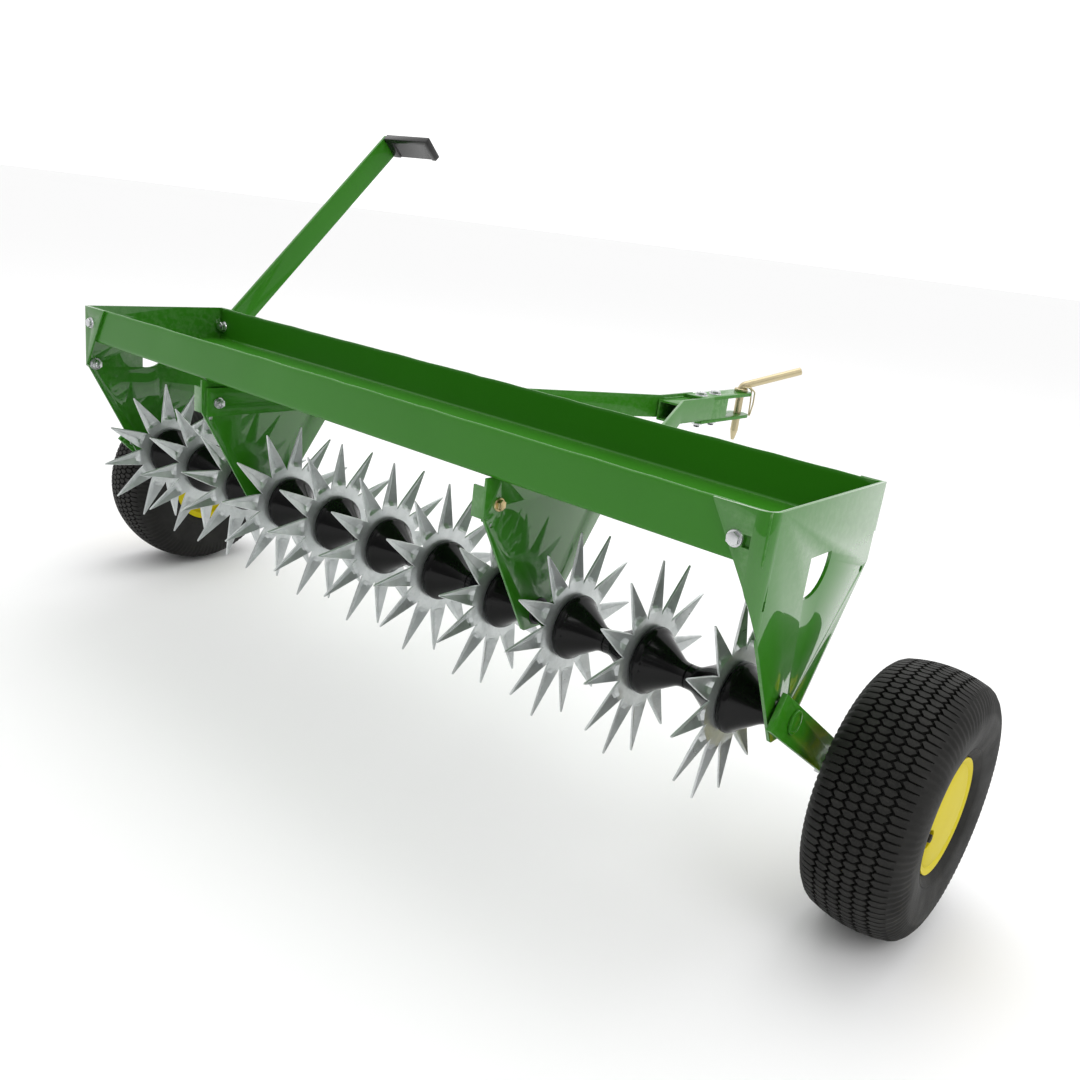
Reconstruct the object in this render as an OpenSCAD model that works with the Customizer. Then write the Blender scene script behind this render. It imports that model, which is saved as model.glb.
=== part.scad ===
// Tow-behind star-tine lawn aerator: weight tray, 11 star tines on a cross axle,
// two pneumatic wheels on a lever-lifted axle, wishbone drawbar and pin hitch.
// Millimetres. +Z up, +Y towards the towing tractor, +X to the machine's right.

/* [Part] */
// Which sub-part to draw

/* [Tray] */
// Length of the tray between the end plates
tray_length = 1010; // [800:1300]
// Depth of the tray from the plates' rear face to the front wall's front face
tray_depth = 204; // [160:260]
// Height of the tray's top edge above the ground, wheels down
tray_top = 407; // [350:460]
// Height of the tray's walls
wall_height = 45; // [35:70]
// Thickness of the tray's sheet
tray_sheet = 2; // [1.5:0.1:3]
// Depth of the folded hem along the rear wall's top edge
hem_depth = 9; // [6:14]

/* [Plates] */
// Thickness of the end and hanger plates
plate_sheet = 3; // [2.5:0.1:5]
// Height of the corner where each plate's front edge starts to narrow
plate_kink = 335; // [300:350]
// Width of the end plates' rear flange at its top
flange_width = 52; // [35:65]
// Outer radius of the bend between the right end plate and its rear flange
bend_radius = 14; // [8:18]
// Outer radius of that bend on the left plate
tight_radius = 5; // [4:10]

/* [Tines] */
// Distance between neighbouring star tines
star_pitch = 91.5; // [85:98]
// Radius over a star's tips
star_radius = 96.5; // [85:100]
// Radius at the roots between two teeth
star_root = 43; // [38:50]
// Thickness of a star's sheet
star_sheet = 2; // [1.5:0.1:3]
// Radius of a hub at the star
hub_radius = 33; // [28:36]
// Radius of a hub at its waist
waist_radius = 12; // [11:16]
// Radius of the cross axle that carries the stars
axle_radius = 8; // [6:10]
// Running clearance of hubs and bushings on the axle
running_gap = 0.06; // [0.04:0.01:0.08]
// Distance of the axle from the plates' rear face
axle_y = 97.5; // [80:120]
// Height of the axle above the ground, wheels down
axle_z = 212; // [190:240]

/* [Wheels] */
// Radius of the tyres
tyre_radius = 127; // [110:140]
// Width of the tyres
tyre_width = 98; // [80:105]
// Distance of each wheel's middle plane from the machine's middle
wheel_x = 586; // [580:620]
// Distance of the wheel centres from the plates' rear face
wheel_y = 215.5; // [205:240]
// Radius of the wheel spindles
spindle_radius = 9.5; // [8:12]

/* [Lever] */
// Length of the lever from the axle to its bend
lever_length = 620; // [450:750]
// Width of the lever and arm bars
lever_width = 34; // [28:44]
// Thickness of the lever and arm bars
lever_sheet = 5; // [4:7]
// Width of the wheel arms
arm_width = 34; // [30:44]
// Length of a wheel arm's square end behind the axle
arm_tail = 38.3; // [24:45]
// Length of the hand grip
grip_length = 99; // [80:130]

/* [Hitch] */
// Distance of the hitch pin from the plates' rear face
pin_y = 866; // [700:1000]
// Height of the drawbar's middle above the ground
drawbar_z = 336; // [300:350]
// Height of the drawbar's arms
arm_height = 34; // [30:50]
// Radius of the hitch pin
pin_radius = 6.3; // [5:8]

/* [Hidden] */
$fn = 64;
end_out = tray_length / 2 + plate_sheet;
end_in = tray_length / 2;
floor_z = tray_top - wall_height;
hang_x = 2.5 * star_pitch;
rear_bolts = [[480, tray_top - 26], [-489.5, tray_top - 20]];
hang_kink = 325;
handle = [65.7, 65.7, 34.4];
handle_dir = handle / norm(handle);
handle_end = pin_y + handle[1] + 3 * handle_dir[1];
mid_y = (handle_end + (pin_radius + 1.2) * sqrt(1 - pow(handle_dir[1], 2)) - 5) / 2;
wheel_z = tyre_radius;
bore = axle_radius + running_gap;
tip_z = axle_z - 17;
arm_in = end_out + 3;
arm_out = arm_in + lever_sheet;
lever_in = arm_out + 0.3;
lever_out = lever_in + lever_sheet;
arm_angle = -33.2;
arm_drop = 2.4;
arm_length = (wheel_y - axle_y) * cos(arm_angle) + (wheel_z - axle_z) * sin(arm_angle);
lever_angle = 45.6;
lever_off = 21;
draw_in = hang_x - plate_sheet / 2 - 0.3;
draw_sheet = 4;
tube_w = 36;
tube_h = 31;
tube_z = drawbar_z - 4.5;
tube_front = 796;
strap_sheet = 5;
strap_half = tube_w / 2 + 0.2;
strap_top = tube_z + tube_h / 2;
strap_low = tube_z - tube_h / 2 - strap_sheet;
hem_gap = 0.6;

star_phase = [5, 0, 14, -8, -2, -2, 0, -12, 2, -1, 5];

// Paints, used only for the preview
green = [0.20, 0.42, 0.12];
zinc = [0.72, 0.73, 0.74];
black = [0.03, 0.03, 0.03];
yellow = [0.85, 0.78, 0.10];

// ---------- helpers ----------
module place() translate([0, -mid_y, 0]) children();

// A flat outline in the YZ plane, given thickness from x0 towards +X
module in_yz(x0, t) translate([x0, 0, 0]) rotate([90, 0, 90]) linear_extrude(t) children();

module across(x0, x1, y, z, r) translate([min(x0, x1), y, z]) rotate([0, 90, 0])
  cylinder(h = abs(x1 - x0), r = r);

module hex(r, h) cylinder(r = r, h = h, $fn = 6);

// A bolt along +Z from the head's seat at 0: head below, nut beyond the grip length;
// with no head it is a flush stud
module bolt(r, grip, head = 5, nut = 6, tail = 3) {
  if (head > 0) translate([0, 0, -head]) hex(r * 1.85, head);
  cylinder(r = r, h = grip + nut + tail, $fn = 24);
  translate([0, 0, grip]) hex(r * 1.85, nut);
}

function arc(cx, cy, r, a0, a1, n) = [for (i = [0 : n]) let(a = a0 + (a1 - a0) * i / n)
  [cx + r * cos(a), cy + r * sin(a)]];

// ---------- tray ----------
module tray() color(green) place() {
  y0 = plate_sheet + 0.3;
  s = tray_sheet;
  difference() {
    rotate([90, 0, 90]) translate([0, 0, -end_in + 0.4]) linear_extrude(tray_length - 0.8)
      polygon([[y0, tray_top], [y0, floor_z + 4], [y0 + 1.2, floor_z + 1.2], [y0 + 4, floor_z],
        [tray_depth - 4, floor_z], [tray_depth - 1.2, floor_z + 1.2], [tray_depth, floor_z + 4],
        [tray_depth, tray_top], [tray_depth - s, tray_top], [tray_depth - s, floor_z + 5],
        [tray_depth - s - 1, floor_z + s + 1], [tray_depth - s - 3, floor_z + s],
        [y0 + s + 3, floor_z + s], [y0 + s + 1, floor_z + s + 1], [y0 + s, floor_z + 5],
        [y0 + s, tray_top - s], [y0 + s + hem_gap, tray_top - s],
        [y0 + s + hem_gap, tray_top - hem_depth], [y0 + 2 * s + hem_gap, tray_top - hem_depth],
        [y0 + 2 * s + hem_gap, tray_top]]);
    for (p = rear_bolts) translate([p[0], -1, p[1]]) rotate([-90, 0, 0]) cylinder(r = 4.3, h = 30);
    for (x = [-1, 1], y = [45, 160]) translate([x * (hang_x + 14), y, floor_z - 1])
      cylinder(r = 4.3, h = 10);
    front_holes();
    // corners cut away round the bends of the end plates
    for (x = [-1, 1]) translate([x * (end_in + 1), 6.5, tray_top]) cube([21, 16, 200], center = true);
  }
}

// Bolt holes through the front wall and the end plates' front flanges
module front_holes() for (x = [-1, 1]) translate([x * (end_in - 8.2), tray_depth - 8, tray_top - 26.5])
  rotate([-90, 0, 0]) cylinder(r = 4.3, h = 20);

// ---------- plates ----------
function plate_outline(top, kink) = concat(
  [[0, top], [0, kink]], arc(80, tip_z + 6, 6, 211, 270, 4), [[103, tip_z]],
  arc(103, tip_z + 12, 12, 270, 326, 4), [[tray_depth, plate_kink], [tray_depth, top]]);

// The D-shaped hand hole under the tray floor: a quarter disc, flat above and behind
module hand_hole() intersection() {
  translate([88, tray_top - 53]) circle(r = 31);
  translate([81, tray_top - 120]) square([80, 72]);
}

module web(top, y_from, kink) difference() {
  polygon(plate_outline(top, kink));
  if (y_from > 0) translate([-1, 250]) square([y_from + 1, 300]);
  if (y_from > 0) hand_hole();
  translate([axle_y, axle_z]) circle(r = 11.8);
}

// The right plate, or the left one seen in a mirror: its rear bend is tighter and it has the lever's stop bolt
module end_plate(left, r, kink, bolt_at) {
  flange_z = tray_top - (flange_width - r) * 1.63;
  cut_z = kink - r * (kink - 197.9) / 74.9;
  difference() {
    union() {
      in_yz(end_in, plate_sheet) web(tray_top, r, kink);
      // the bend, cut along the line on which the flange tapers
      intersection() {
        translate([end_out - r, r, 0]) difference() {
          cylinder(r = r, h = tray_top);
          translate([0, 0, -1]) cylinder(r = r - plate_sheet, h = tray_top + 2);
        }
        translate([end_out - r, 0, 0]) cube([r, r, tray_top]);
        translate([end_out - r, 0, 0]) rotate([0, 0, 45]) rotate([90, 0, 0])
          translate([0, 0, -30]) linear_extrude(60) polygon([[-1, flange_z + 1], [0, flange_z],
            [r * 1.4142, cut_z], [30, cut_z], [30, tray_top + 1], [-1, tray_top + 1]]);
      }
      translate([0, plate_sheet, 0]) rotate([90, 0, 0]) linear_extrude(plate_sheet)
        polygon([[end_out - r, tray_top], [end_out - flange_width, tray_top],
          [end_out - r, flange_z]]);
      // the short flange in front of the tray's front wall
      translate([end_in - 20, tray_depth + 0.2, tray_top - wall_height])
        cube([20 + plate_sheet, plate_sheet, wall_height]);
      translate([end_in, tray_depth - 1, tray_top - wall_height]) cube([plate_sheet, 2, wall_height]);
    }
    if (left) across(400, 600, 13.5, tray_top - 77, 4.3);
    else {
      translate([end_in - 1, 11, tray_top - 78]) cube([8, 2.6, 8]);
      translate([486.6, -1, tray_top - 31]) cube([6.4, 8, 10]);
    }
    across(400, 600, 192, tray_top - 78, 3);
    translate([abs(bolt_at[0]), 6, bolt_at[1]]) rotate([90, 0, 0]) cylinder(r = 4.3, h = 10);
    front_holes();
  }
}

module right_end_plate() color(green) place() end_plate(false, bend_radius, 325, rear_bolts[0]);
module left_end_plate() color(green) place() mirror([1, 0, 0])
  end_plate(true, tight_radius, 335, rear_bolts[1]);

// Hanger plate: web, a narrow tab at the rear and a top flange. Both tabs point to the machine's left
module hanger_plate(tab) {
  top = floor_z - 0.3;
  x0 = hang_x - plate_sheet / 2;
  difference() {
    union() {
      in_yz(x0, plate_sheet) web(top, 0, hang_kink);
      translate([x0 + tab, 0, hang_kink - 2]) cube([13.5, plate_sheet, 30]);
      translate([x0, 20, top - plate_sheet]) cube([30, 166, plate_sheet]);
    }
    across(150, 300, 20, tray_top - 72, 4.3);
    across(150, 300, 12.5, tray_top - 91, 2.6);
    across(150, 300, 170, tray_top - 72, 4.3);
    for (y = [45, 160]) translate([hang_x + 14, y, top - 10]) cylinder(r = 4.3, h = 20);
  }
}

module right_hanger_plate() color(green) place() hanger_plate(-13);
module left_hanger_plate() color(green) place() mirror([1, 0, 0]) hanger_plate(2.5);

// ---------- fasteners of the frame ----------
module tray_bolts() color(zinc) place() {
  for (p = rear_bolts) translate([p[0], 0, p[1]]) rotate([-90, 0, 0])
    bolt(4, plate_sheet + tray_sheet + 0.3);
  // flush studs pressed into the tray floor, with their nuts under the hanger plates
  for (x = [-1, 1], y = [45, 160]) translate([x * (hang_x + 14), y, floor_z + tray_sheet])
    mirror([0, 0, 1]) bolt(4, tray_sheet + plate_sheet + 0.3, head = 0);
}

module plate_bolts() color(zinc) place() {
  translate([-end_out, 13.5, tray_top - 77]) rotate([0, 90, 0])
    bolt(4, plate_sheet, head = 2.6, nut = 7);
  for (x = [-1, 1]) translate([x * (end_in - 8.2), tray_depth + 0.2 + plate_sheet, tray_top - 26.5])
    rotate([90, 0, 0]) bolt(4, plate_sheet + tray_sheet + 0.2, head = 4);
}

module drawbar_bolts() color(zinc) place() for (m = [0, 1]) mirror([m, 0, 0])
  for (y = [20, 170]) translate([hang_x + plate_sheet / 2, y, tray_top - 72]) rotate([0, -90, 0])
    bolt(4, plate_sheet + draw_sheet + 0.3);

module axle_bushings() color(black) place() for (m = [0, 1]) mirror([m, 0, 0]) {
  for (p = [[end_in, 1], [hang_x - plate_sheet / 2, 0]]) difference() {
    union() {
      across(p[0] - 0.4, p[0] + plate_sheet + 0.2, axle_y, axle_z, 11.5);
      if (p[1] == 1) across(p[0] + plate_sheet + 0.2, p[0] + plate_sheet + 2.2, axle_y, axle_z, 15);
      else across(p[0] + plate_sheet + 0.2, p[0] + plate_sheet + 1.2, axle_y, axle_z, 14);
    }
    across(p[0] - 2, p[0] + 9, axle_y, axle_z, bore);
  }
}

// ---------- drawbar ----------
// Plan view of the right-hand arm: along the hanger plate, in to the tube, then straight
module arm_plan() {
  t = draw_sheet;
  polygon([[draw_in - t, 5], [draw_in, 5], [draw_in, 233], [tube_w / 2 + 0.3 + t, 655],
    [tube_w / 2 + 0.3 + t, 744], [tube_w / 2 + 0.3, 744], [tube_w / 2 + 0.3, 654],
    [draw_in - t, 232]]);
}

module drawbar_arm() difference() {
  translate([0, 0, drawbar_z - arm_height / 2]) linear_extrude(arm_height) arm_plan();
  for (y = [20, 170]) across(150, 300, y, tray_top - 72, 4.3);
}

module right_drawbar_arm() color(green) place() drawbar_arm();
module left_drawbar_arm() color(green) place() mirror([1, 0, 0]) drawbar_arm();

module drawbar_tube() color(green) place() difference() {
  translate([-tube_w / 2, 648, tube_z - tube_h / 2]) cube([tube_w, tube_front - 648, tube_h]);
  translate([-tube_w / 2 + 3, 640, tube_z - tube_h / 2 + 3])
    cube([tube_w - 6, tube_front - 600, tube_h - 6]);
  for (y = [740, 783]) translate([0, y, 200]) cylinder(r = 5.3, h = 200);
}

module hitch_straps() color(green) place() for (z = [strap_top + 0.2, strap_low - 0.2]) difference() {
  union() {
    translate([-strap_half, 722, z]) cube([2 * strap_half, pin_y - 722, strap_sheet]);
    translate([0, pin_y, z]) cylinder(r = strap_half, h = strap_sheet);
  }
  for (y = [740, 783]) translate([0, y, 200]) cylinder(r = 5.3, h = 200);
  translate([0, pin_y, 200]) cylinder(r = pin_radius + 0.08, h = 200);
}

module strap_bolts() color(zinc) place() for (y = [740, 783])
  translate([0, y, strap_top + strap_sheet + 0.2]) mirror([0, 0, 1])
    bolt(5, strap_top - strap_low + strap_sheet + 0.4);

// ---------- hitch pin ----------
module rod(a, b, r) {
  v = b - a;
  translate(a) rotate([0, acos(v[2] / norm(v)), atan2(v[1], v[0])]) cylinder(r = r, h = norm(v), $fn = 32);
}

pin_seat = strap_top + strap_sheet + 0.3;
handle_a = [0, pin_y, pin_seat + 9];
handle_b = handle_a + handle;

module hitch_pin() color(zinc) place() {
  difference() {
    union() {
      translate([0, pin_y, strap_low - 25]) cylinder(r = pin_radius, h = pin_seat + 9 - strap_low + 25);
      translate([0, pin_y, strap_low - 41]) cylinder(r1 = 2.5, r2 = pin_radius, h = 16);
      translate([0, pin_y, pin_seat]) cylinder(r = 11, h = 5);
      translate(handle_a) sphere(r = pin_radius + 0.4);
      rod(handle_a, handle_b, pin_radius);
      rod(handle_b - 12 * handle_dir, handle_b + 3 * handle_dir, pin_radius + 1.2);
    }
    translate([0, pin_y, pin_seat + 8]) rotate([0, 0, -45]) translate([-30, 0, 0])
      rotate([0, 90, 0]) cylinder(r = 1.6, h = 60, $fn = 24);
  }
}

// The wire clip hangs from a hole through the pin's head, under the handle
module pin_clip() color(zinc) place() translate([0, pin_y, pin_seat + 8]) rotate([0, 0, -45]) {
  p = [[-9, 0, 0], [9, 0, 0], [10, 12, 1], [10, 21, -6], [8, 22, -26], [2.5, 21, -46],
    [-2.5, 21, -46], [-8, 22, -26], [-10, 21, -6], [-10, 12, 1]];
  for (i = [0 : 9]) {
    rod(p[i], p[(i + 1) % 10], 1.3);
    translate(p[i]) sphere(r = 1.45, $fn = 24);
  }
}

// ---------- lift axle, arms and lever ----------
module tine_axle() color(zinc) place() across(-lever_out - 9, arm_out + 2, axle_y, axle_z, axle_radius);

module bar_yz(x0, t, length, w, off = 0) translate([x0, -w / 2 + off, 0]) cube([t, w, length]);

module wheel_arm() difference() {
  translate([arm_in, axle_y, axle_z]) rotate([arm_angle - 90, 0, 0]) {
    translate([0, arm_drop - arm_width / 2, -arm_tail])
      cube([lever_sheet, arm_width, arm_length + arm_tail]);
    translate([0, arm_drop, arm_length]) rotate([0, 90, 0]) cylinder(r = arm_width / 2, h = lever_sheet);
  }
  across(400, 600, axle_y, axle_z, axle_radius + 0.3);
  across(400, 600, wheel_y, wheel_z, spindle_radius + 0.3);
}

// Two bolts behind the axle tie the lever to the left arm's square end
lever_bolt_at = [for (d = [-11.4, 6.6]) [axle_y - 26 * cos(arm_angle) - d * sin(arm_angle),
  axle_z - 26 * sin(arm_angle) + d * cos(arm_angle)]];

module lever_holes() for (p = lever_bolt_at) across(400, 600, p[0], p[1], 3.3);

module right_wheel_arm() color(green) place() wheel_arm();
module left_wheel_arm() color(green) place() mirror([1, 0, 0]) difference() {
  wheel_arm();
  lever_holes();
}

// A nut outside the lever on the left, and a flat retaining ring on the right
module axle_nuts() color(zinc) place() {
  translate([-lever_out - 0.2, axle_y, axle_z]) rotate([0, -90, 0]) difference() {
    union() {
      cylinder(r = 12.2, h = 1.5);
      translate([0, 0, 1.5]) hex(11.5, 6);
    }
    translate([0, 0, -1]) cylinder(r = axle_radius + 0.25, h = 20);
  }
  translate([arm_out + 0.2, axle_y, axle_z]) rotate([0, 90, 0]) difference() {
    cylinder(r = 11, h = 2.4);
    translate([0, 0, -1]) cylinder(r = axle_radius + 0.25, h = 20);
  }
}

module spindle() {
  translate([arm_in - 7, wheel_y, wheel_z]) rotate([0, 90, 0]) hex(15, 7);
  across(arm_in - 1, wheel_x + 36.5, wheel_y, wheel_z, spindle_radius);
}

module right_spindle() color(zinc) place() spindle();
module left_spindle() color(zinc) place() mirror([1, 0, 0]) spindle();

module wheel_nuts() color(zinc) place() for (m = [0, 1]) mirror([m, 0, 0]) {
  translate([arm_out + 0.2, wheel_y, wheel_z]) rotate([0, 90, 0]) difference() {
    hex(15, 9);
    translate([0, 0, -1]) cylinder(r = spindle_radius + 0.25, h = 20);
  }
  translate([wheel_x + 30.2, wheel_y, wheel_z]) rotate([0, 90, 0]) difference() {
    union() {
      cylinder(r = 16, h = 1.5);
      translate([0, 0, 1.5]) hex(14, 5);
    }
    translate([0, 0, -1]) cylinder(r = spindle_radius + 0.25, h = 20);
  }
}

module lift_lever() color(green) place() mirror([1, 0, 0]) difference() {
  translate([lever_in, axle_y, axle_z]) {
    rotate([0, 90, 0]) cylinder(r = 22, h = lever_sheet);
    rotate([lever_angle - 90, 0, 0]) {
      translate([0, -lever_width / 2 - lever_off, -26])
        cube([lever_sheet, lever_width, lever_length + 26]);
      // the end turned inboard to carry the grip
      translate([-grip_length + 14, -lever_width / 2 - lever_off + 3, lever_length - lever_sheet])
        cube([grip_length - 10, lever_width - 6, lever_sheet]);
    }
  }
  across(400, 600, axle_y, axle_z, axle_radius + 0.3);
  lever_holes();
}

module lever_bolts() color(zinc) place() mirror([1, 0, 0]) for (p = lever_bolt_at)
  translate([arm_in, p[0], p[1]]) rotate([0, 90, 0])
    bolt(3, 2 * lever_sheet + 0.3, head = 0.6, nut = 4, tail = 1);

// Moulded grip sleeved over the turned end, open underneath
module lever_grip() color(black) place() mirror([1, 0, 0])
  translate([lever_in, axle_y, axle_z]) rotate([lever_angle - 90, 0, 0])
    translate([-grip_length, -lever_width / 2 - lever_off - 1, lever_length - lever_sheet - 3.2])
      difference() {
        cube([grip_length - 1, lever_width + 2, 10]);
        translate([12, 3.6, 2.9]) cube([grip_length + 20, lever_width - 5.2, lever_sheet + 0.6]);
        translate([9, 8, -1]) cube([grip_length - 26, lever_width, 3]);
      }

// ---------- wheels ----------
valve_angle = -84;
valve_r = 42;

module wheel_part() translate([wheel_x, wheel_y, wheel_z]) rotate([0, 90, 0]) children();

module tyre_solid() {
  w = tyre_width / 2;
  r = tyre_radius;
  rotate_extrude($fn = 96) polygon(concat([[51, -35], [58, -39.3], [70, -w + 2.5], [84, -w]],
    arc(r - 30, -w + 30, 30, 270, 354, 6), [[r, -8], [r, 8]], arc(r - 30, w - 30, 30, 6, 90, 6),
    [[84, w], [70, w - 2.5], [58, 39.3], [51, 35], [66, 31], [96, 36], [108, 24], [114, 0],
      [108, -24], [96, -36], [66, -31]]));
}

module rim_solid() difference() {
  rotate_extrude($fn = 96) polygon([[50.7, -35.2], [56, -38.5], [56, -40.5], [48.5, -37.9],
    [48, -31], [47, -29], [24, -23], [15, -23], [15, -20.5], [24, -20.5], [45, -26.3],
    [45, 26.3], [24, 20.5], [15, 20.5], [15, 23], [24, 23], [47, 29], [48, 31],
    [48.5, 37.9], [56, 40.5], [56, 38.5], [50.7, 35.2]]);
  translate([0, 0, 10]) rotate([0, 0, valve_angle]) translate([valve_r, 0, 0]) cylinder(r = 4.6, h = 40);
}

module bearing_solid() difference() {
  union() {
    translate([0, 0, -39.4]) cylinder(r = 14.7, h = 69.4);
    for (z = [-1, 1]) translate([0, 0, z * 24.4]) cylinder(r = 21, h = 2.5, center = true);
  }
  cylinder(r = spindle_radius + 0.06, h = 100, center = true);
}

module valve_solid() rotate([0, 0, valve_angle]) translate([valve_r, 0, 0]) {
  translate([0, 0, 15]) cylinder(r = 4.3, h = 15);
  translate([0, 0, 29.5]) cylinder(r1 = 4.3, r2 = 3.4, h = 7.5);
  translate([0, 0, 36.5]) cylinder(r = 3.8, h = 5.5);
}

// Pressed cap over the wheel nut, notched round the valve
module cap_solid() difference() {
  rotate_extrude($fn = 96) polygon([[0, 41.2], [29.8, 40.8], [41.6, 40], [44.8, 39.3], [45.6, 38.6],
    [45.6, 32.6], [46.6, 32.6], [46.6, 39], [45.6, 40.2], [42, 41], [30, 41.8], [0, 42.2]]);
  rotate([0, 0, valve_angle]) translate([valve_r + 2, 0, 20]) cylinder(r = 8.2, h = 30);
}

module right_tyre() color(black) place() wheel_part() tyre_solid();
module right_rim() color(yellow) place() wheel_part() rim_solid();
module right_wheel_bearing() color(black) place() wheel_part() bearing_solid();
module right_valve() color(black) place() wheel_part() valve_solid();
module right_hub_cap() color(yellow) place() wheel_part() cap_solid();
module left_hub_cap() color(yellow) place() mirror([1, 0, 0]) wheel_part() cap_solid();
module left_tyre() color(black) place() mirror([1, 0, 0]) wheel_part() tyre_solid();
module left_rim() color(yellow) place() mirror([1, 0, 0]) wheel_part() rim_solid();
module left_wheel_bearing() color(black) place() mirror([1, 0, 0]) wheel_part() bearing_solid();
module left_valve() color(black) place() mirror([1, 0, 0]) wheel_part() valve_solid();

// ---------- stars and hubs ----------
function star_points(ph) = [for (i = [0 : 11]) each [
  [star_radius * cos(ph + 30 * i), star_radius * sin(ph + 30 * i)],
  [star_root * cos(ph + 30 * i + 15), star_root * sin(ph + 30 * i + 15)]]];

function star_x(k) = (k - 6) * star_pitch;

module star(k) color(zinc) place() translate([star_x(k), axle_y, axle_z]) rotate([90, 0, 90])
  translate([0, 0, -star_sheet / 2]) difference() {
    linear_extrude(star_sheet) polygon(star_points(star_phase[k - 1]));
    translate([0, 0, -1]) cylinder(r = 16.3, h = 10);
  }

// A hub is two hourglass halves clamping the star; ends next to a plate are shorter
function near_plate(k, side) = (k == 1 && side < 0) || (k == 11 && side > 0)
  || (k == 3 && side > 0) || (k == 4 && side < 0) || (k == 8 && side > 0) || (k == 9 && side < 0);

module hub_half(reach) {
  t = star_sheet / 2 + 0.1;
  rotate_extrude() polygon([[bore, 0.1], [16, 0.1], [16, t], [hub_radius - 1, t], [hub_radius, t + 1],
    [hub_radius, t + 3], [hub_radius - 2.5, t + 6.5], [waist_radius, reach - 7],
    [waist_radius, reach], [bore, reach]]);
}

module hub(k) color(black) place() translate([star_x(k), axle_y, axle_z]) rotate([0, 90, 0]) {
  for (side = [-1, 1]) mirror([0, 0, side < 0 ? 1 : 0])
    hub_half(near_plate(k, side) ? star_pitch / 2 - 3.2 : star_pitch / 2 - 0.3);
}

module star_01() star(1);
module star_02() star(2);
module star_03() star(3);
module star_04() star(4);
module star_05() star(5);
module star_06() star(6);
module star_07() star(7);
module star_08() star(8);
module star_09() star(9);
module star_10() star(10);
module star_11() star(11);
module hub_01() hub(1);
module hub_02() hub(2);
module hub_03() hub(3);
module hub_04() hub(4);
module hub_05() hub(5);
module hub_06() hub(6);
module hub_07() hub(7);
module hub_08() hub(8);
module hub_09() hub(9);
module hub_10() hub(10);
module hub_11() hub(11);

// ---------- drawing ----------
tray();
left_end_plate();
right_end_plate();
left_hanger_plate();
right_hanger_plate();
tray_bolts();
plate_bolts();
axle_bushings();
left_drawbar_arm();
right_drawbar_arm();
drawbar_tube();
drawbar_bolts();
hitch_straps();
strap_bolts();
tine_axle();
left_wheel_arm();
right_wheel_arm();
axle_nuts();
left_spindle();
right_spindle();
wheel_nuts();
lift_lever();
lever_bolts();
lever_grip();
left_tyre();
left_rim();
left_wheel_bearing();
left_valve();
left_hub_cap();
right_tyre();
right_rim();
right_wheel_bearing();
right_valve();
right_hub_cap();
hitch_pin();
pin_clip();
star_01();
star_02();
star_03();
star_04();
star_05();
star_06();
star_07();
star_08();
star_09();
star_10();
star_11();
hub_01();
hub_02();
hub_03();
hub_04();
hub_05();
hub_06();
hub_07();
hub_08();
hub_09();
hub_10();
hub_11();
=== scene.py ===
"""Tow-behind star-tine lawn aerator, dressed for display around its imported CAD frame."""

import logging
import math
import random
from dataclasses import dataclass, field, replace
from enum import Enum
from typing import Callable, Iterable, Optional, Sequence

import bmesh
import bpy
from mathutils import Matrix, Vector


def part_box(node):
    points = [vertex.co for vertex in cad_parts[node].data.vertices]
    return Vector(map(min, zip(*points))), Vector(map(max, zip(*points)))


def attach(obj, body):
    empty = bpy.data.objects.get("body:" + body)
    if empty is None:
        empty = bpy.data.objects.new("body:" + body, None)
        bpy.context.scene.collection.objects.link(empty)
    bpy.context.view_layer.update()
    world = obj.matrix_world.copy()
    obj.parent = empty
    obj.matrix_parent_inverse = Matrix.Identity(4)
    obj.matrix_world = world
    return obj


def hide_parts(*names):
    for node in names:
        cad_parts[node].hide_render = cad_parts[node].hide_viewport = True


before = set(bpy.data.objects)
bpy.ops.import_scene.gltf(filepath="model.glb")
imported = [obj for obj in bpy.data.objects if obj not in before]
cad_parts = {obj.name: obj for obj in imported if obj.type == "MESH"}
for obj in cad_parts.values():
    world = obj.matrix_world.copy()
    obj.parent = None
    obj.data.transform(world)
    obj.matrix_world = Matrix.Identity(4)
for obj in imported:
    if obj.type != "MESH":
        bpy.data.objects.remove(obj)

log = logging.getLogger("aerator")
MM = 0.001
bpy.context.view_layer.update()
TURN = 2.0 * math.pi

Nodes = bpy.types.ShaderNodeTree
Socket = bpy.types.NodeSocket


# --------------------------------------------------------------------------- shader effects
class Effect(Enum):
    """Shader effects shared by several finishes, each one node group."""

    # Rubbed edges, and on the green enamel a painted pale highlight along edges, folds and hems.
    WEAR_AND_HIGHLIGHT = "edge_wear_and_highlight"
    GRAIN = "fine_grain"
    MOTTLE = "mottled_tone"
    DUST = "settled_dust"
    SPANGLE = "zinc_spangle"


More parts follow.
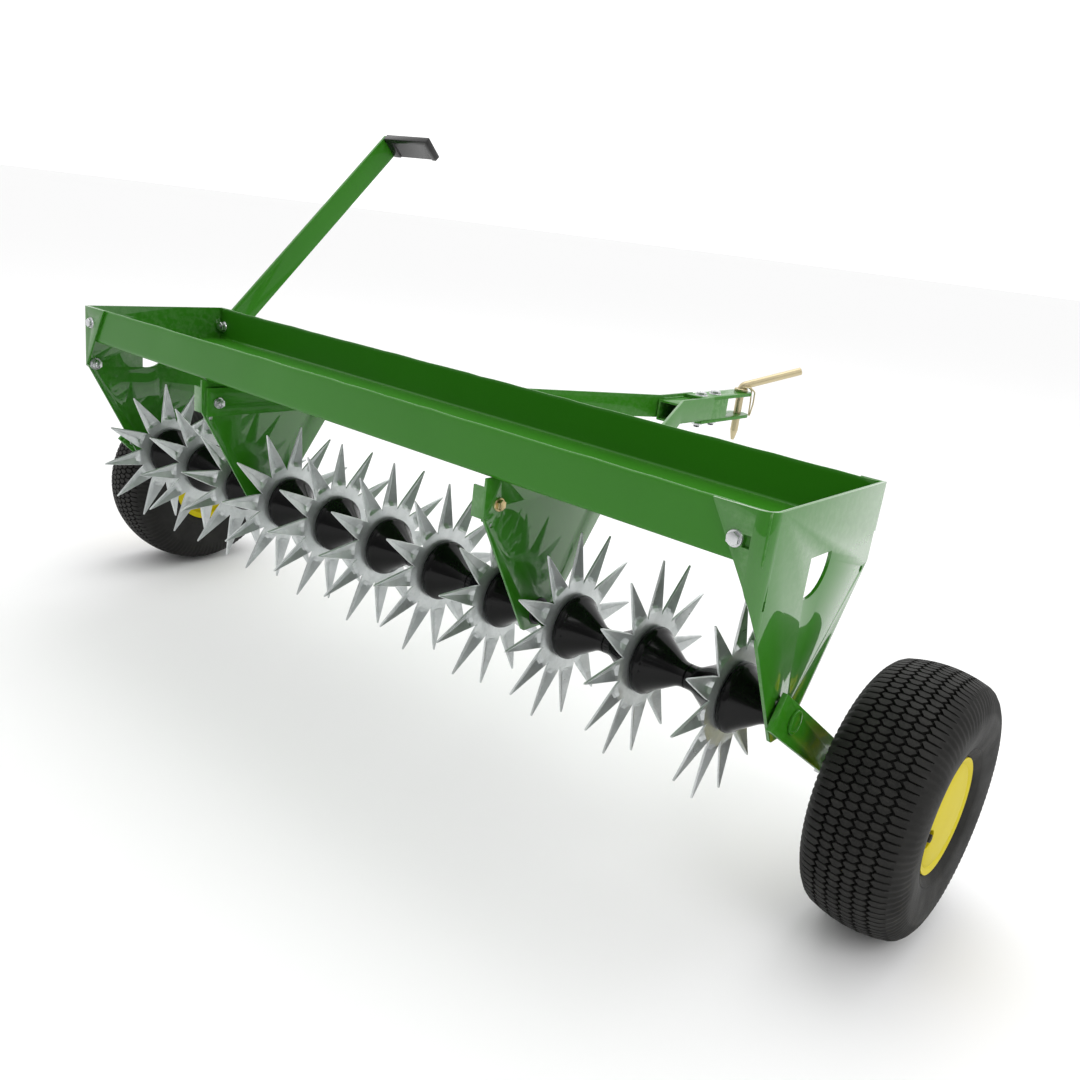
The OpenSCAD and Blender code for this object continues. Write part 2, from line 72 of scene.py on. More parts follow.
class GroupBench:
    """Builds each shared shader group once and hands out the same one after that."""

    def __init__(self) -> None:
        """Start with no groups made."""
        self.made: dict[Effect, bpy.types.NodeTree] = {}

    def get(self, effect: Effect) -> bpy.types.NodeTree:
        """The node group of an effect, built on first use.

        Args:
            effect: Which effect is wanted.

        Returns:
            The shader node group.
        """
        if effect not in self.made:
            self.made[effect] = getattr(self, "_" + effect.value)()
        return self.made[effect]

    @staticmethod
    def _blank(name: str, inputs: dict[str, object], outputs: dict[str, str]) -> bpy.types.NodeTree:
        """A group with named sockets.

        Args:
            name: Name of the group.
            inputs: Socket name to its default; a tuple makes a colour, a number a value.
            outputs: Socket name to its socket type.

        Returns:
            The empty group with its input and output nodes.
        """
        tree = bpy.data.node_groups.new(name, "ShaderNodeTree")
        for label, default in inputs.items():
            kind = "NodeSocketColor" if isinstance(default, tuple) else "NodeSocketFloat"
            socket = tree.interface.new_socket(label, in_out="INPUT", socket_type=kind)
            socket.default_value = default
        for label, kind in outputs.items():
            tree.interface.new_socket(label, in_out="OUTPUT", socket_type=kind)
        tree.nodes.new("NodeGroupInput").name = "in"
        tree.nodes.new("NodeGroupOutput").name = "out"
        return tree

    def _edge_wear_and_highlight(self) -> bpy.types.NodeTree:
        """Mask of sharp edges, for rubbed wear and, on the green enamel, a painted pale edge highlight:
        surface pointiness broken up by noise.
        """
        t = self._blank("edge_wear_and_highlight", {"Amount": 0.5, "Scale": 90.0}, {"Mask": "NodeSocketFloat"})
        given = t.nodes["in"].outputs
        geo = t.nodes.new("ShaderNodeNewGeometry")
        sharp_edges = stretched(t, geo.outputs["Pointiness"], 0.53, 0.64)
        breakup = stretched(t, noise_value(t, given["Scale"], detail=4.0, rough=0.65), 0.42, 0.62)
        t.links.new(times(t, times(t, sharp_edges, breakup), given["Amount"]), t.nodes["out"].inputs["Mask"])
        return t

    def _fine_grain(self) -> bpy.types.NodeTree:
        """Two octaves of height noise, for orange peel, mould grain and rubber skin."""
        t = self._blank("fine_grain", {"Coarse": 60.0, "Fine": 600.0}, {"Height": "NodeSocketFloat"})
        given = t.nodes["in"].outputs
        add = math_node(t, "ADD")
        join(t, (noise_value(t, given["Coarse"], detail=2.0, rough=0.5), add.inputs[0]),
             (noise_value(t, given["Fine"], detail=3.0, rough=0.6), add.inputs[1]),
             (add.outputs[0], t.nodes["out"].inputs["Height"]))
        return t

    def _mottled_tone(self) -> bpy.types.NodeTree:
        """A colour that drifts between two tones over the surface."""
        t = self._blank(
            "mottled_tone",
            {"Tone A": (0.5, 0.5, 0.5, 1.0), "Tone B": (0.3, 0.3, 0.3, 1.0), "Scale": 9.0, "Contrast": 1.0},
            {"Color": "NodeSocketColor", "Fac": "NodeSocketFloat"},
        )
        given, result = t.nodes["in"].outputs, t.nodes["out"].inputs
        spread, gain = math_node(t, "SUBTRACT", 0.5), math_node(t, "MULTIPLY")
        back = math_node(t, "ADD", 0.5)
        back.use_clamp = True
        mix = mix_node(t)
        join(t, (noise_value(t, given["Scale"], detail=5.0, rough=0.55), spread.inputs[0]),
             (spread.outputs[0], gain.inputs[0]), (given["Contrast"], gain.inputs[1]),
             (gain.outputs[0], back.inputs[0]), (back.outputs[0], mix.inputs["Factor"]),
             (given["Tone A"], mix.inputs["A"]), (given["Tone B"], mix.inputs["B"]),
             (mix.outputs["Result"], result["Color"]), (back.outputs[0], result["Fac"]))
        return t

    def _settled_dust(self) -> bpy.types.NodeTree:
        """Mask of dust that lies on upward faces, patchy at two sizes."""
        t = self._blank("settled_dust", {"Amount": 0.3, "Scale": 14.0}, {"Mask": "NodeSocketFloat"})
        given = t.nodes["in"].outputs
        geo, split = t.nodes.new("ShaderNodeNewGeometry"), t.nodes.new("ShaderNodeSeparateXYZ")
        t.links.new(geo.outputs["Normal"], split.inputs[0])
        up = stretched(t, split.outputs["Z"], 0.25)
        patch = stretched(t, noise_value(t, given["Scale"], detail=6.0, rough=0.7), 0.40, 0.70)
        t.links.new(times(t, times(t, up, patch), given["Amount"]), t.nodes["out"].inputs["Mask"])
        return t

    def _zinc_spangle(self) -> bpy.types.NodeTree:
        """Crystal flakes of a zinc coat: a value per flake, and darker run marks."""
        t = self._blank("zinc_spangle", {"Flake": 160.0, "Runs": 26.0},
                        {"Fac": "NodeSocketFloat", "Stain": "NodeSocketFloat"})
        given, result = t.nodes["in"].outputs, t.nodes["out"].inputs
        coords = t.nodes.new("ShaderNodeTexCoord")
        cells, split = t.nodes.new("ShaderNodeTexVoronoi"), t.nodes.new("ShaderNodeSeparateColor")
        runs = noise_value(t, given["Runs"], detail=6.0, rough=0.72)
        join(t, (coords.outputs["Object"], cells.inputs["Vector"]), (given["Flake"], cells.inputs["Scale"]),
             (cells.outputs["Color"], split.inputs[0]), (split.outputs[0], result["Fac"]),
             (stretched(t, runs, 0.50, 0.74), result["Stain"]))
        return t


def join(tree: Nodes, *pairs: tuple[Socket, Socket]) -> None:
    """Link pairs of sockets.

    Args:
        tree: The tree that holds them.
        pairs: An output and the input that it feeds, for each link.
    """
    for source, target in pairs:
        tree.links.new(source, target)


def noise_value(tree: Nodes, scale: Socket, detail: float, rough: float) -> Socket:
    """Noise on Object coordinates.

    Args:
        tree: The tree to add it to.
        scale: Gives the noise its scale.
        detail: Octaves.
        rough: Roughness of the octaves.

    Returns:
        The noise's value.
    """
    coords, noise = tree.nodes.new("ShaderNodeTexCoord"), tree.nodes.new("ShaderNodeTexNoise")
    noise.inputs["Detail"].default_value = detail
    noise.inputs["Roughness"].default_value = rough
    join(tree, (coords.outputs["Object"], noise.inputs["Vector"]), (scale, noise.inputs["Scale"]))
    return noise.outputs["Fac"]


def stretched(tree: Nodes, value: Socket, low: float, high: float = 1.0) -> Socket:
    """A value stretched so that low..high becomes 0..1.

    Args:
        tree: The tree to add it to.
        value: The value.
        low: What becomes 0.
        high: What becomes 1.

    Returns:
        The stretched value.
    """
    node = tree.nodes.new("ShaderNodeMapRange")
    node.inputs["From Min"].default_value = low
    node.inputs["From Max"].default_value = high
    tree.links.new(value, node.inputs["Value"])
    return node.outputs["Result"]


def times(tree: Nodes, first: Socket, second: Socket) -> Socket:
    """The product of two values."""
    node = math_node(tree, "MULTIPLY")
    join(tree, (first, node.inputs[0]), (second, node.inputs[1]))
    return node.outputs[0]


def math_node(tree: Nodes, operation: str, second: float = 1.0) -> bpy.types.Node:
    """A maths node with its second value set.

    Args:
        tree: The tree to add it to.
        operation: Blender's name of the operation.
        second: Value of the second input where nothing is linked.

    Returns:
        The maths node.
    """
    node = tree.nodes.new("ShaderNodeMath")
    node.operation = operation
    node.inputs[1].default_value = second
    return node


class MixPorts:
    """The colour sockets of a mix node under plain names."""

    def __init__(self, node: bpy.types.Node) -> None:
        """Keep the colour sockets of the node."""
        self.inputs = {"Factor": node.inputs[0], "A": node.inputs[6], "B": node.inputs[7]}
        self.outputs = {"Result": node.outputs[2]}


def mix_node(tree: Nodes) -> MixPorts:
    """A colour mix node, reached through MixPorts."""
    node = tree.nodes.new("ShaderNodeMix")
    node.data_type = "RGBA"
    return MixPorts(node)


GROUPS = GroupBench()


# --------------------------------------------------------------------------- finishes
@dataclass(frozen=True)
class Finish:
    """One surface finish: a Principled shader with a drifting colour, edge wear that on the green enamel is
    also a painted edge highlight, dust and relief.
    """

    name: str
    slot: str
    tone: tuple[float, float, float]
    shade: tuple[float, float, float]
    rough: float = 0.4
    rough_swing: float = 0.12
    metal: float = 0.0
    coat: float = 0.0
    coat_rough: float = 0.08
    coat_ior: float = 1.5
    specular: float = 0.5
    mottle: float = 9.0
    contrast: float = 1.0
    relief: float = 0.1
    relief_depth: float = 0.0002
    coarse: float = 60.0
    fine: float = 600.0
    # Edge colour and strength: rubbed wear, and on the green enamel a painted edge highlight.
    wear_and_highlight: float = 0.0
    wear_and_highlight_tone: tuple[float, float, float] = (0.5, 0.5, 0.5)
    wear_and_highlight_scale: float = 90.0
    dust: float = 0.0
    dust_tone: tuple[float, float, float] = (0.45, 0.42, 0.36)
    spangle: float = 0.0
    stain_tone: tuple[float, float, float] = (0.16, 0.17, 0.17)

    def material(self) -> bpy.types.Material:
        """The material of this finish, built on first use."""
        known = bpy.data.materials.get(self.name)
        if known:
            return known
        made = bpy.data.materials.new(self.name)
        made.use_nodes = True
        tree = made.node_tree
        shader = tree.nodes["Principled BSDF"]
        for label, value in (("Roughness", self.rough), ("Metallic", self.metal), ("Coat Weight", self.coat),
                             ("Specular IOR Level", self.specular), ("Coat Roughness", self.coat_rough),
                             ("Coat IOR", self.coat_ior)):
            shader.inputs[label].default_value = value
        made.diffuse_color = (*self.tone, 1.0)
        mottle = self._group(tree, Effect.MOTTLE, {
            "Tone A": (*self.tone, 1.0), "Tone B": (*self.shade, 1.0),
            "Scale": self.mottle, "Contrast": self.contrast})
        colour = mottle.outputs["Color"]
        fac = mottle.outputs["Fac"]
        if self.spangle:
            colour = self._spangled(tree, colour)
        if self.dust:
            mask = self._group(tree, Effect.DUST, {"Amount": self.dust})
            colour = self._mixed(tree, colour, self.dust_tone, mask.outputs["Mask"])
        # Pale colour over sharp edges: rubbed wear, and on the green enamel a painted highlight along folds
        # and hems.
        if self.wear_and_highlight:
            mask = self._group(tree, Effect.WEAR_AND_HIGHLIGHT, {"Amount": self.wear_and_highlight, "Scale": self.wear_and_highlight_scale})
            colour = self._mixed(tree, colour, self.wear_and_highlight_tone, mask.outputs["Mask"])
        tree.links.new(colour, shader.inputs["Base Color"])
        swing = tree.nodes.new("ShaderNodeMapRange")
        swing.inputs["To Min"].default_value = max(0.02, self.rough - self.rough_swing / 2)
        swing.inputs["To Max"].default_value = min(1.0, self.rough + self.rough_swing / 2)
        tree.links.new(fac, swing.inputs["Value"])
        tree.links.new(swing.outputs["Result"], shader.inputs["Roughness"])
        grain = self._group(tree, Effect.GRAIN, {"Coarse": self.coarse, "Fine": self.fine})
        bump = tree.nodes.new("ShaderNodeBump")
        bump.inputs["Strength"].default_value = self.relief
        bump.inputs["Distance"].default_value = self.relief_depth
        tree.links.new(grain.outputs["Height"], bump.inputs["Height"])
        tree.links.new(bump.outputs["Normal"], shader.inputs["Normal"])
        return made

    @staticmethod
    def _group(tree: Nodes, effect: Effect, values: dict[str, object]) -> bpy.types.Node:
        """Place a shared group in the material.

        Args:
            tree: The material's tree.
            effect: Which effect.
            values: Input name to value.

        Returns:
            The group node.
        """
        node = tree.nodes.new("ShaderNodeGroup")
        node.node_tree = GROUPS.get(effect)
        for label, value in values.items():
            node.inputs[label].default_value = value
        return node

    @staticmethod
    def _mixed(tree: Nodes, colour: Socket, over: tuple[float, float, float],
               mask: Socket) -> Socket:
        """Lay a colour over another where a mask says so.

        Args:
            tree: The material's tree.
            colour: The colour underneath.
            over: The colour on top.
            mask: Where the top colour shows.

        Returns:
            The mixed colour socket.
        """
        mix = mix_node(tree)
        mix.inputs["B"].default_value = (*over, 1.0)
        tree.links.new(mask, mix.inputs["Factor"])
        tree.links.new(colour, mix.inputs["A"])
        return mix.outputs["Result"]

    def _spangled(self, tree: Nodes, colour: Socket) -> Socket:
        """Add zinc flakes and darker run marks to a colour.

        Args:
            tree: The material's tree.
            colour: The colour underneath.

        Returns:
            The new colour socket.
        """
        flakes = self._group(tree, Effect.SPANGLE, {})
        weak = math_node(tree, "MULTIPLY", self.spangle)
        tree.links.new(flakes.outputs["Fac"], weak.inputs[0])
        colour = self._mixed(tree, colour, self.shade, weak.outputs[0])
        stain = math_node(tree, "MULTIPLY", self.spangle * 0.9)
        tree.links.new(flakes.outputs["Stain"], stain.inputs[0])
        return self._mixed(tree, colour, self.stain_tone, stain.outputs[0])


# The pale green edge tone is a painted highlight along the enamel's edges, mixed with rubbed wear.
GREEN = Finish("green_enamel", "frame_paint", (0.034, 0.218, 0.007), (0.024, 0.162, 0.005), rough=0.42,
               rough_swing=0.08, coat=0.35, coat_rough=0.07, specular=0.12, mottle=3.0, contrast=1.2,
               relief=0.08, relief_depth=0.0001, coarse=240.0, fine=900.0, wear_and_highlight=0.15,
               wear_and_highlight_tone=(0.50, 0.68, 0.42), wear_and_highlight_scale=140.0, dust=0.04, dust_tone=(0.30, 0.36, 0.22))
# Full-strength edge tone paints the pale highlight along the tray's rounded hem and folds.
GREEN_TRAY = replace(GREEN, name="green_enamel_tray", wear_and_highlight=1.0)
GREEN_GLOSS = replace(GREEN, name="green_enamel_plates", coat=1.0, coat_rough=0.03, coat_ior=1.62,
                      relief=0.02, wear_and_highlight=0.08, dust=0.02)
ZINC_STAR = Finish("galvanised_sheet", "galvanised", (0.74, 0.76, 0.76), (0.50, 0.53, 0.53), rough=0.34,
                   rough_swing=0.2, metal=0.72, mottle=34.0, contrast=1.5, relief=0.18,
                   relief_depth=0.0002, coarse=180.0, fine=900.0, spangle=0.42,
                   wear_and_highlight=0.5, wear_and_highlight_tone=(0.86, 0.88, 0.88), wear_and_highlight_scale=200.0)
HUB_BLACK = Finish("black_hub_plastic", "hub_plastic", (0.0035, 0.0035, 0.004), (0.006, 0.006, 0.006),
                   rough=0.15, rough_swing=0.06, specular=0.2, relief=0.05, relief_depth=0.0001,
                   coarse=120.0, fine=700.0, dust=0.05, dust_tone=(0.10, 0.10, 0.10))
TYRE_RUBBER = Finish("tyre_rubber", "tyre", (0.017, 0.0165, 0.015), (0.008, 0.008, 0.0075), rough=0.66,
                     rough_swing=0.18, specular=0.24, mottle=40.0, contrast=1.8, relief=0.4,
                     relief_depth=0.00025, coarse=300.0, fine=1500.0, wear_and_highlight=0.30,
                     wear_and_highlight_tone=(0.052, 0.050, 0.044), wear_and_highlight_scale=260.0, dust=0.05,
                     dust_tone=(0.07, 0.068, 0.06))
RIM_YELLOW = Finish("yellow_enamel", "rim_paint", (0.66, 0.56, 0.004), (0.58, 0.47, 0.003), rough=0.48,
                    rough_swing=0.10, specular=0.12, mottle=14.0, relief=0.08, relief_depth=0.0001,
                    coarse=200.0, fine=900.0, wear_and_highlight=0.1, wear_and_highlight_tone=(0.75, 0.70, 0.25))
VALVE_BLACK = Finish("valve_rubber", "valve_rubber", (0.018, 0.018, 0.018), (0.028, 0.028, 0.027),
                     rough=0.6, relief=0.2, coarse=400.0, fine=1600.0)
NYLON = Finish("black_nylon", "bearing_plastic", (0.022, 0.022, 0.024), (0.034, 0.034, 0.034),
               rough=0.5, relief=0.25, coarse=300.0, fine=1200.0)
GRIP_BLACK = Finish("grip_plastic", "grip_plastic", (0.008, 0.008, 0.008), (0.013, 0.013, 0.013),
                    rough=0.30, rough_swing=0.1, relief=0.12, relief_depth=0.00015, coarse=350.0,
                    fine=1300.0, wear_and_highlight=0.2, wear_and_highlight_tone=(0.09, 0.09, 0.09), dust=0.05,
                    dust_tone=(0.16, 0.16, 0.16))
YELLOW_ZINC = Finish("yellow_zinc", "yellow_zinc", (0.40, 0.38, 0.31), (0.17, 0.145, 0.09), rough=0.27,
                     metal=1.0, mottle=60.0, contrast=2.0, relief=0.2, coarse=300.0, fine=1200.0,
                     wear_and_highlight=0.3, wear_and_highlight_tone=(0.70, 0.68, 0.60))
CLEAR_ZINC = Finish("clear_zinc", "zinc", (0.66, 0.67, 0.68), (0.44, 0.45, 0.46), rough=0.28, metal=0.95,
                    mottle=70.0, contrast=1.5, relief=0.14, coarse=400.0, fine=1500.0, wear_and_highlight=0.4,
                    wear_and_highlight_tone=(0.86, 0.87, 0.88))
BRASSY_ZINC = replace(CLEAR_ZINC, name="passivated_zinc", tone=(0.62, 0.50, 0.26), shade=(0.44, 0.33, 0.15),
                      wear_and_highlight_tone=(0.80, 0.72, 0.50))


# --------------------------------------------------------------------------- mesh bench
def new_mesh(name: str, data: bmesh.types.BMesh) -> bpy.types.Mesh:
    """A mesh made from a bmesh, which is freed."""
    mesh = bpy.data.meshes.new(name)
    data.to_mesh(mesh)
    data.free()
    return mesh


def new_object(name: str, data: bpy.types.ID) -> bpy.types.Object:
    """An object in the scene that holds some data."""
    made = bpy.data.objects.new(name, data)
    bpy.context.scene.collection.objects.link(made)
    return made


class Bench:
    """Mesh making shared by the sub-assemblies. Everything is in metres, in the row frame."""

    @staticmethod
    def place(name: str, mesh_data: bmesh.types.BMesh, body: str, finish: Finish,
              stands_for: Iterable[str] = (), smooth: float = 35.0) -> bpy.types.Object:
        """Turn a bmesh into a dressed piece that rides on a body.

        Args:
            name: Name of the piece.
            mesh_data: The mesh, in the row frame. It is freed here.
            body: The CAD body that carries the piece.
            finish: Its finish.
            stands_for: CAD nodes that it replaces.
            smooth: Edges sharper than this many degrees stay sharp.

        Returns:
            The piece.
        """
        bmesh.ops.recalc_face_normals(mesh_data, faces=mesh_data.faces)
        mesh = new_mesh(name, mesh_data)
        piece = new_object(name, mesh)
        mesh.materials.append(finish.material())
        mesh.shade_smooth()
        mesh.set_sharp_from_angle(angle=math.radians(smooth))
        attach(piece, body)
        if stands_for:
            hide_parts(*stands_for)
        log.info("%s: %d faces, on %s", name, len(mesh.polygons), body)
        return piece

    @staticmethod
    def rows(mesh_data: bmesh.types.BMesh, rows: Sequence[Sequence[Vector]], closed: bool = False) -> list:
        """A skin drawn through rows of points: the first row is extruded to each next one.

        Args:
            mesh_data: The mesh to add to.
            rows: Rows with the same number of points.
            closed: Whether each row is a loop.

        Returns:
            The last row's vertices.
        """
        verts = [mesh_data.verts.new(p) for p in rows[0]]
        pairs = list(zip(verts, verts[1:])) + ([(verts[-1], verts[0])] if closed else [])
        edges = [mesh_data.edges.new(pair) for pair in pairs]
        for row in rows[1:]:
            grown = bmesh.ops.extrude_edge_only(mesh_data, edges=edges)["geom"]
            fresh = {g for g in grown if isinstance(g, bmesh.types.BMVert)}
            verts = [next(e.other_vert(v) for e in v.link_edges if e.other_vert(v) in fresh) for v in verts]
            for vert, point in zip(verts, row):
                vert.co = point
            pairs = list(zip(verts, verts[1:])) + ([(verts[-1], verts[0])] if closed else [])
            edges = [mesh_data.edges.get(pair) for pair in pairs]
        return verts

    @staticmethod
    def lathe(mesh_data: bmesh.types.BMesh, profile: Sequence[tuple[float, float]], centre: Vector,
              steps: int = 72, closed: bool = True) -> None:
        """Spin a profile of (along X, radius) points about the X direction through a centre.

        Args:
            mesh_data: The mesh to add to.
            profile: The section.
            centre: A point on the axis, where along is 0.
            steps: Facets round the turn.
            closed: Whether the section is a loop.
        """
        verts = [mesh_data.verts.new(centre + Vector((x, 0.0, r))) for x, r in profile]
        pairs = list(zip(verts, verts[1:])) + ([(verts[-1], verts[0])] if closed else [])
        edges = [mesh_data.edges.new(pair) for pair in pairs]
        bmesh.ops.spin(mesh_data, geom=verts + edges, cent=centre, axis=(1.0, 0.0, 0.0), dvec=(0, 0, 0),
                       angle=TURN, steps=steps, use_merge=True)
        bmesh.ops.remove_doubles(mesh_data, verts=mesh_data.verts, dist=1e-6)

    @staticmethod
    def rod(mesh_data: bmesh.types.BMesh, path: Sequence[Vector], radius: float, sides: int = 16,
            looped: bool = False, ends: Optional[tuple[float, float]] = None) -> None:
        """A round rod swept along a path, with softly rounded ends.

        Args:
            mesh_data: The mesh to add to.
            path: The points that it follows.
            radius: Its radius.
            sides: Facets round it.
            looped: Whether the path closes on itself.
            ends: Radii at the first and last point, where they differ.
        """
        points = [Vector(p) for p in path]
        count = len(points)
        normal = None
        rings = []
        for i, point in enumerate(points):
            before = points[(i - 1) % count] if looped or i else points[0]
            after = points[(i + 1) % count] if looped or i < count - 1 else points[-1]
            tangent = (after - before).normalized()
            if normal is None:
                side = Vector((0, 0, 1)) if abs(tangent.z) < 0.9 else Vector((1, 0, 0))
                normal = (side - tangent * side.dot(tangent)).normalized()
            normal = (normal - tangent * normal.dot(tangent)).normalized()
            cross = tangent.cross(normal)
            size = radius
            if ends and not looped:
                size = ends[0] if i == 0 else ends[1] if i == count - 1 else radius
            angles = [TURN * k / sides for k in range(sides)]
            rings.append([point + (normal * math.cos(a) + cross * math.sin(a)) * size for a in angles])
        last = Bench.rows(mesh_data, rings + ([rings[0]] if looped else []), closed=True)
        if looped:
            bmesh.ops.remove_doubles(mesh_data, verts=mesh_data.verts, dist=1e-7)
            return
        mesh_data.faces.new(last)
        opening = [e for e in mesh_data.edges if e.is_boundary]
        bmesh.ops.holes_fill(mesh_data, edges=opening, sides=sides + 1)

    @staticmethod
    def arc(centre: Vector, start: Vector, end_angle: float, axis: Vector, steps: int) -> list[Vector]:
        """Points on an arc.

        Args:
            centre: Its centre.
            start: Its first point.
            end_angle: How far it turns, in degrees.
            axis: What it turns about.
            steps: How many steps.

        Returns:
            The points, the first one included.
        """
        arm = start - centre
        return [centre + Matrix.Rotation(math.radians(end_angle) * i / steps, 3, axis) @ arm
                for i in range(steps + 1)]

    @staticmethod
    def bevel(mesh_data: bmesh.types.BMesh, width: float, above: float = 40.0, segments: int = 2) -> None:
        """Round every edge sharper than an angle.

        Args:
            mesh_data: The mesh.
            width: Width of the rounding.
            above: Only edges with more than this many degrees between their faces.
            segments: Steps across the rounding.
        """
        limit = math.radians(above)
        sharp = [e for e in mesh_data.edges if e.is_manifold and e.calc_face_angle(0.0) > limit]
        bmesh.ops.bevel(mesh_data, geom=sharp, offset=width, offset_type="OFFSET", segments=segments,
                        profile=0.5, affect="EDGES", material=-1, clamp_overlap=True)

    @staticmethod
    def eased(node: str, body: str, finish: Finish, width: float) -> bpy.types.Object:
        """A copy of a CAD node with its loose triangles merged and its edges eased, which replaces it.

        Args:
            node: The CAD node.
            body: The body that carries it.
            finish: Its finish.
            width: Width of the eased edges.

        Returns:
            The piece.
        """
        data = bmesh.new()
        data.from_mesh(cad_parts[node].data)
        bmesh.ops.remove_doubles(data, verts=data.verts, dist=2e-6)
        bmesh.ops.dissolve_limit(data, angle_limit=math.radians(0.6), use_dissolve_boundaries=False,
                                 verts=data.verts, edges=data.edges, delimit={"NORMAL"})
        Bench.bevel(data, width)
        return Bench.place(node + "_eased", data, body, finish, [node])


def centre_of(node: str) -> Vector:
    """The middle of a CAD node's box."""
    low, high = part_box(node)
    return (low + high) / 2


# --------------------------------------------------------------------------- fasteners
@dataclass
class HexFastener:
    """A hexagon bolt with a flanged head, a nut and a short threaded end."""

    thread: float = 0.004
    head: float = 0.005
    nut: float = 0.006

    def _aim(self, at: Vector, out: Vector) -> Matrix:
        """Matrix that takes +Z to the direction in which the head points, and the origin to its seat."""
        return Matrix.Translation(at) @ out.to_track_quat("Z", "Y").to_matrix().to_4x4()

    def _hexagon(self, data: bmesh.types.BMesh, radius: float, low: float, high: float,
                 where: Matrix) -> None:
        """A hexagon prism with its top corners turned off.

        Args:
            data: The mesh to add to.
            radius: Radius over its corners.
            low: Height of its bottom.
            high: Height of its top.
            where: Its place.
        """
        made = bmesh.ops.create_cone(data, cap_ends=True, cap_tris=False, segments=6, radius1=radius,
                                     radius2=radius, depth=high - low,
                                     matrix=where @ Matrix.Translation((0, 0, (low + high) / 2)))
        faces = {f for v in made["verts"] for f in v.link_faces}
        tops = [f for f in faces if len(f.verts) == 6]
        rims = {e for f in tops for e in f.edges}
        bmesh.ops.bevel(data, geom=list(rims), offset=radius * 0.09, offset_type="OFFSET", segments=2,
                        profile=0.5, affect="EDGES", material=-1, clamp_overlap=True)

    def _disc(self, data: bmesh.types.BMesh, radius: float, low: float, high: float, where: Matrix,
              top: Optional[float] = None) -> None:
        """A round collar, with a smaller top radius where it is coned.

        Args:
            data: The mesh to add to.
            radius: Radius at the bottom.
            low: Height of its bottom.
            high: Height of its top.
            where: Its place.
            top: Radius at the top.
        """
        bmesh.ops.create_cone(data, cap_ends=True, cap_tris=False, segments=28, radius1=radius,
                              radius2=radius if top is None else top, depth=high - low,
                              matrix=where @ Matrix.Translation((0, 0, (low + high) / 2)))

    def bolt(self, data: bmesh.types.BMesh, seat: Vector, out: Vector, grip: float) -> None:
        """Add one bolt with its nut.

        Args:
            data: The mesh to add to.
            seat: Where the head bears.
            out: The way the head points.
            grip: Thickness that the bolt clamps.
        """
        where = self._aim(seat, out.normalized())
        flange, wide = self.head * 0.28, self.thread * 2.05
        self._disc(data, wide, 0.0, flange, where, wide * 0.93)
        self._hexagon(data, self.thread * 1.62, flange * 0.8, self.head, where)
        self._disc(data, self.thread * 0.98, -grip - self.nut, 0.0, where)
        self.nut_only(data, seat - out.normalized() * grip, -out)

    def nut_only(self, data: bmesh.types.BMesh, seat: Vector, out: Vector) -> None:
        """Add a flanged nut with the ridged end of a thread standing out of it.

        Args:
            data: The mesh to add to.
            seat: Where the nut bears.
            out: The way it points.
        """
        where = self._aim(seat, out.normalized())
        wide = self.thread * 2.05
        self._disc(data, wide, 0.0, self.nut * 0.2, where, wide * 0.94)
        self._hexagon(data, self.thread * 1.68, self.nut * 0.15, self.nut, where)
        for ridge in range(4):
            low = self.nut + ridge * self.thread * 0.17
            self._disc(data, self.thread * 0.84, low, low + self.thread * 0.085, where, self.thread)
            self._disc(data, self.thread, low + self.thread * 0.085, low + self.thread * 0.17, where,
                       self.thread * 0.84)


# --------------------------------------------------------------------------- sub-assemblies
@dataclass
class WeightTray:
    """The folded sheet tray with a hem along its rear wall's top edge."""

    sheet: float = 0.002
    hem: float = 0.009
    hem_bend: float = 0.0013
    corner: float = 0.004
    bays: int = 48
    wave: float = 0.00055

    def section(self) -> list[tuple[float, float]]:
        """The sheet's middle line across the tray, from the rear hem, as (y, z) points."""
        low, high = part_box("tray")
        half = self.sheet / 2
        rear, front = low.y + half, high.y - half
        floor, top = low.z + half, high.z - half
        crest = top - self.hem_bend
        line: list[tuple[float, float]] = []

        def bend(y: float, z: float, radius: float, start: float, end: float, steps: int) -> None:
            """Add an arc, its angles in degrees from +Y towards +Z."""
            for i in range(steps + 1):
                a = math.radians(start + (end - start) * i / steps)
                line.append((y + radius * math.cos(a), z + radius * math.sin(a)))

        line.append((rear + 2 * self.hem_bend, high.z - self.hem))
        bend(rear + self.hem_bend, crest, self.hem_bend, 0, 180, 8)
        line.extend(((rear, crest - 0.005), (rear, floor + self.corner + 0.005)))
        bend(rear + self.corner, floor + self.corner, self.corner, 180, 270, 6)
        line.extend(((rear + self.corner + 0.006, floor), (front - self.corner - 0.006, floor)))
        bend(front - self.corner, floor + self.corner, self.corner, 270, 360, 6)
        line.extend(((front, floor + self.corner + 0.005), (front, high.z - 0.005)))
        line.append((front, high.z - 0.0003))
        return line

    def build(self) -> None:
        """Fold the sheet along the machine and give it its thickness."""
        low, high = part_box("tray")
        wander = random.Random(11)
        section = self.section()
        rows = []
        for i in range(self.bays + 1):
            x = low.x + (high.x - low.x) * i / self.bays
            ends = 0.0 if i in (0, self.bays) else 1.0
            lift, push = (wander.uniform(-self.wave, self.wave) * ends for _ in range(2))
            rows.append([Vector((x, y + (push if z > low.z + 0.02 else 0.0),
                                 z + (lift * 0.5 if z > low.z + 0.03 else 0.0))) for y, z in section])
        data = bmesh.new()
        Bench.rows(data, rows)
        tray = Bench.place("tray_folded", data, "frame", GREEN_TRAY, ["tray"], smooth=50.0)
        thick = tray.modifiers.new("sheet", "SOLIDIFY")
        thick.thickness, thick.offset, thick.use_even_offset = self.sheet, 0.0, True
        ease = tray.modifiers.new("cut_edges", "BEVEL")
        ease.width, ease.segments, ease.limit_method, ease.angle_limit = 0.0004, 2, "ANGLE", math.radians(60)


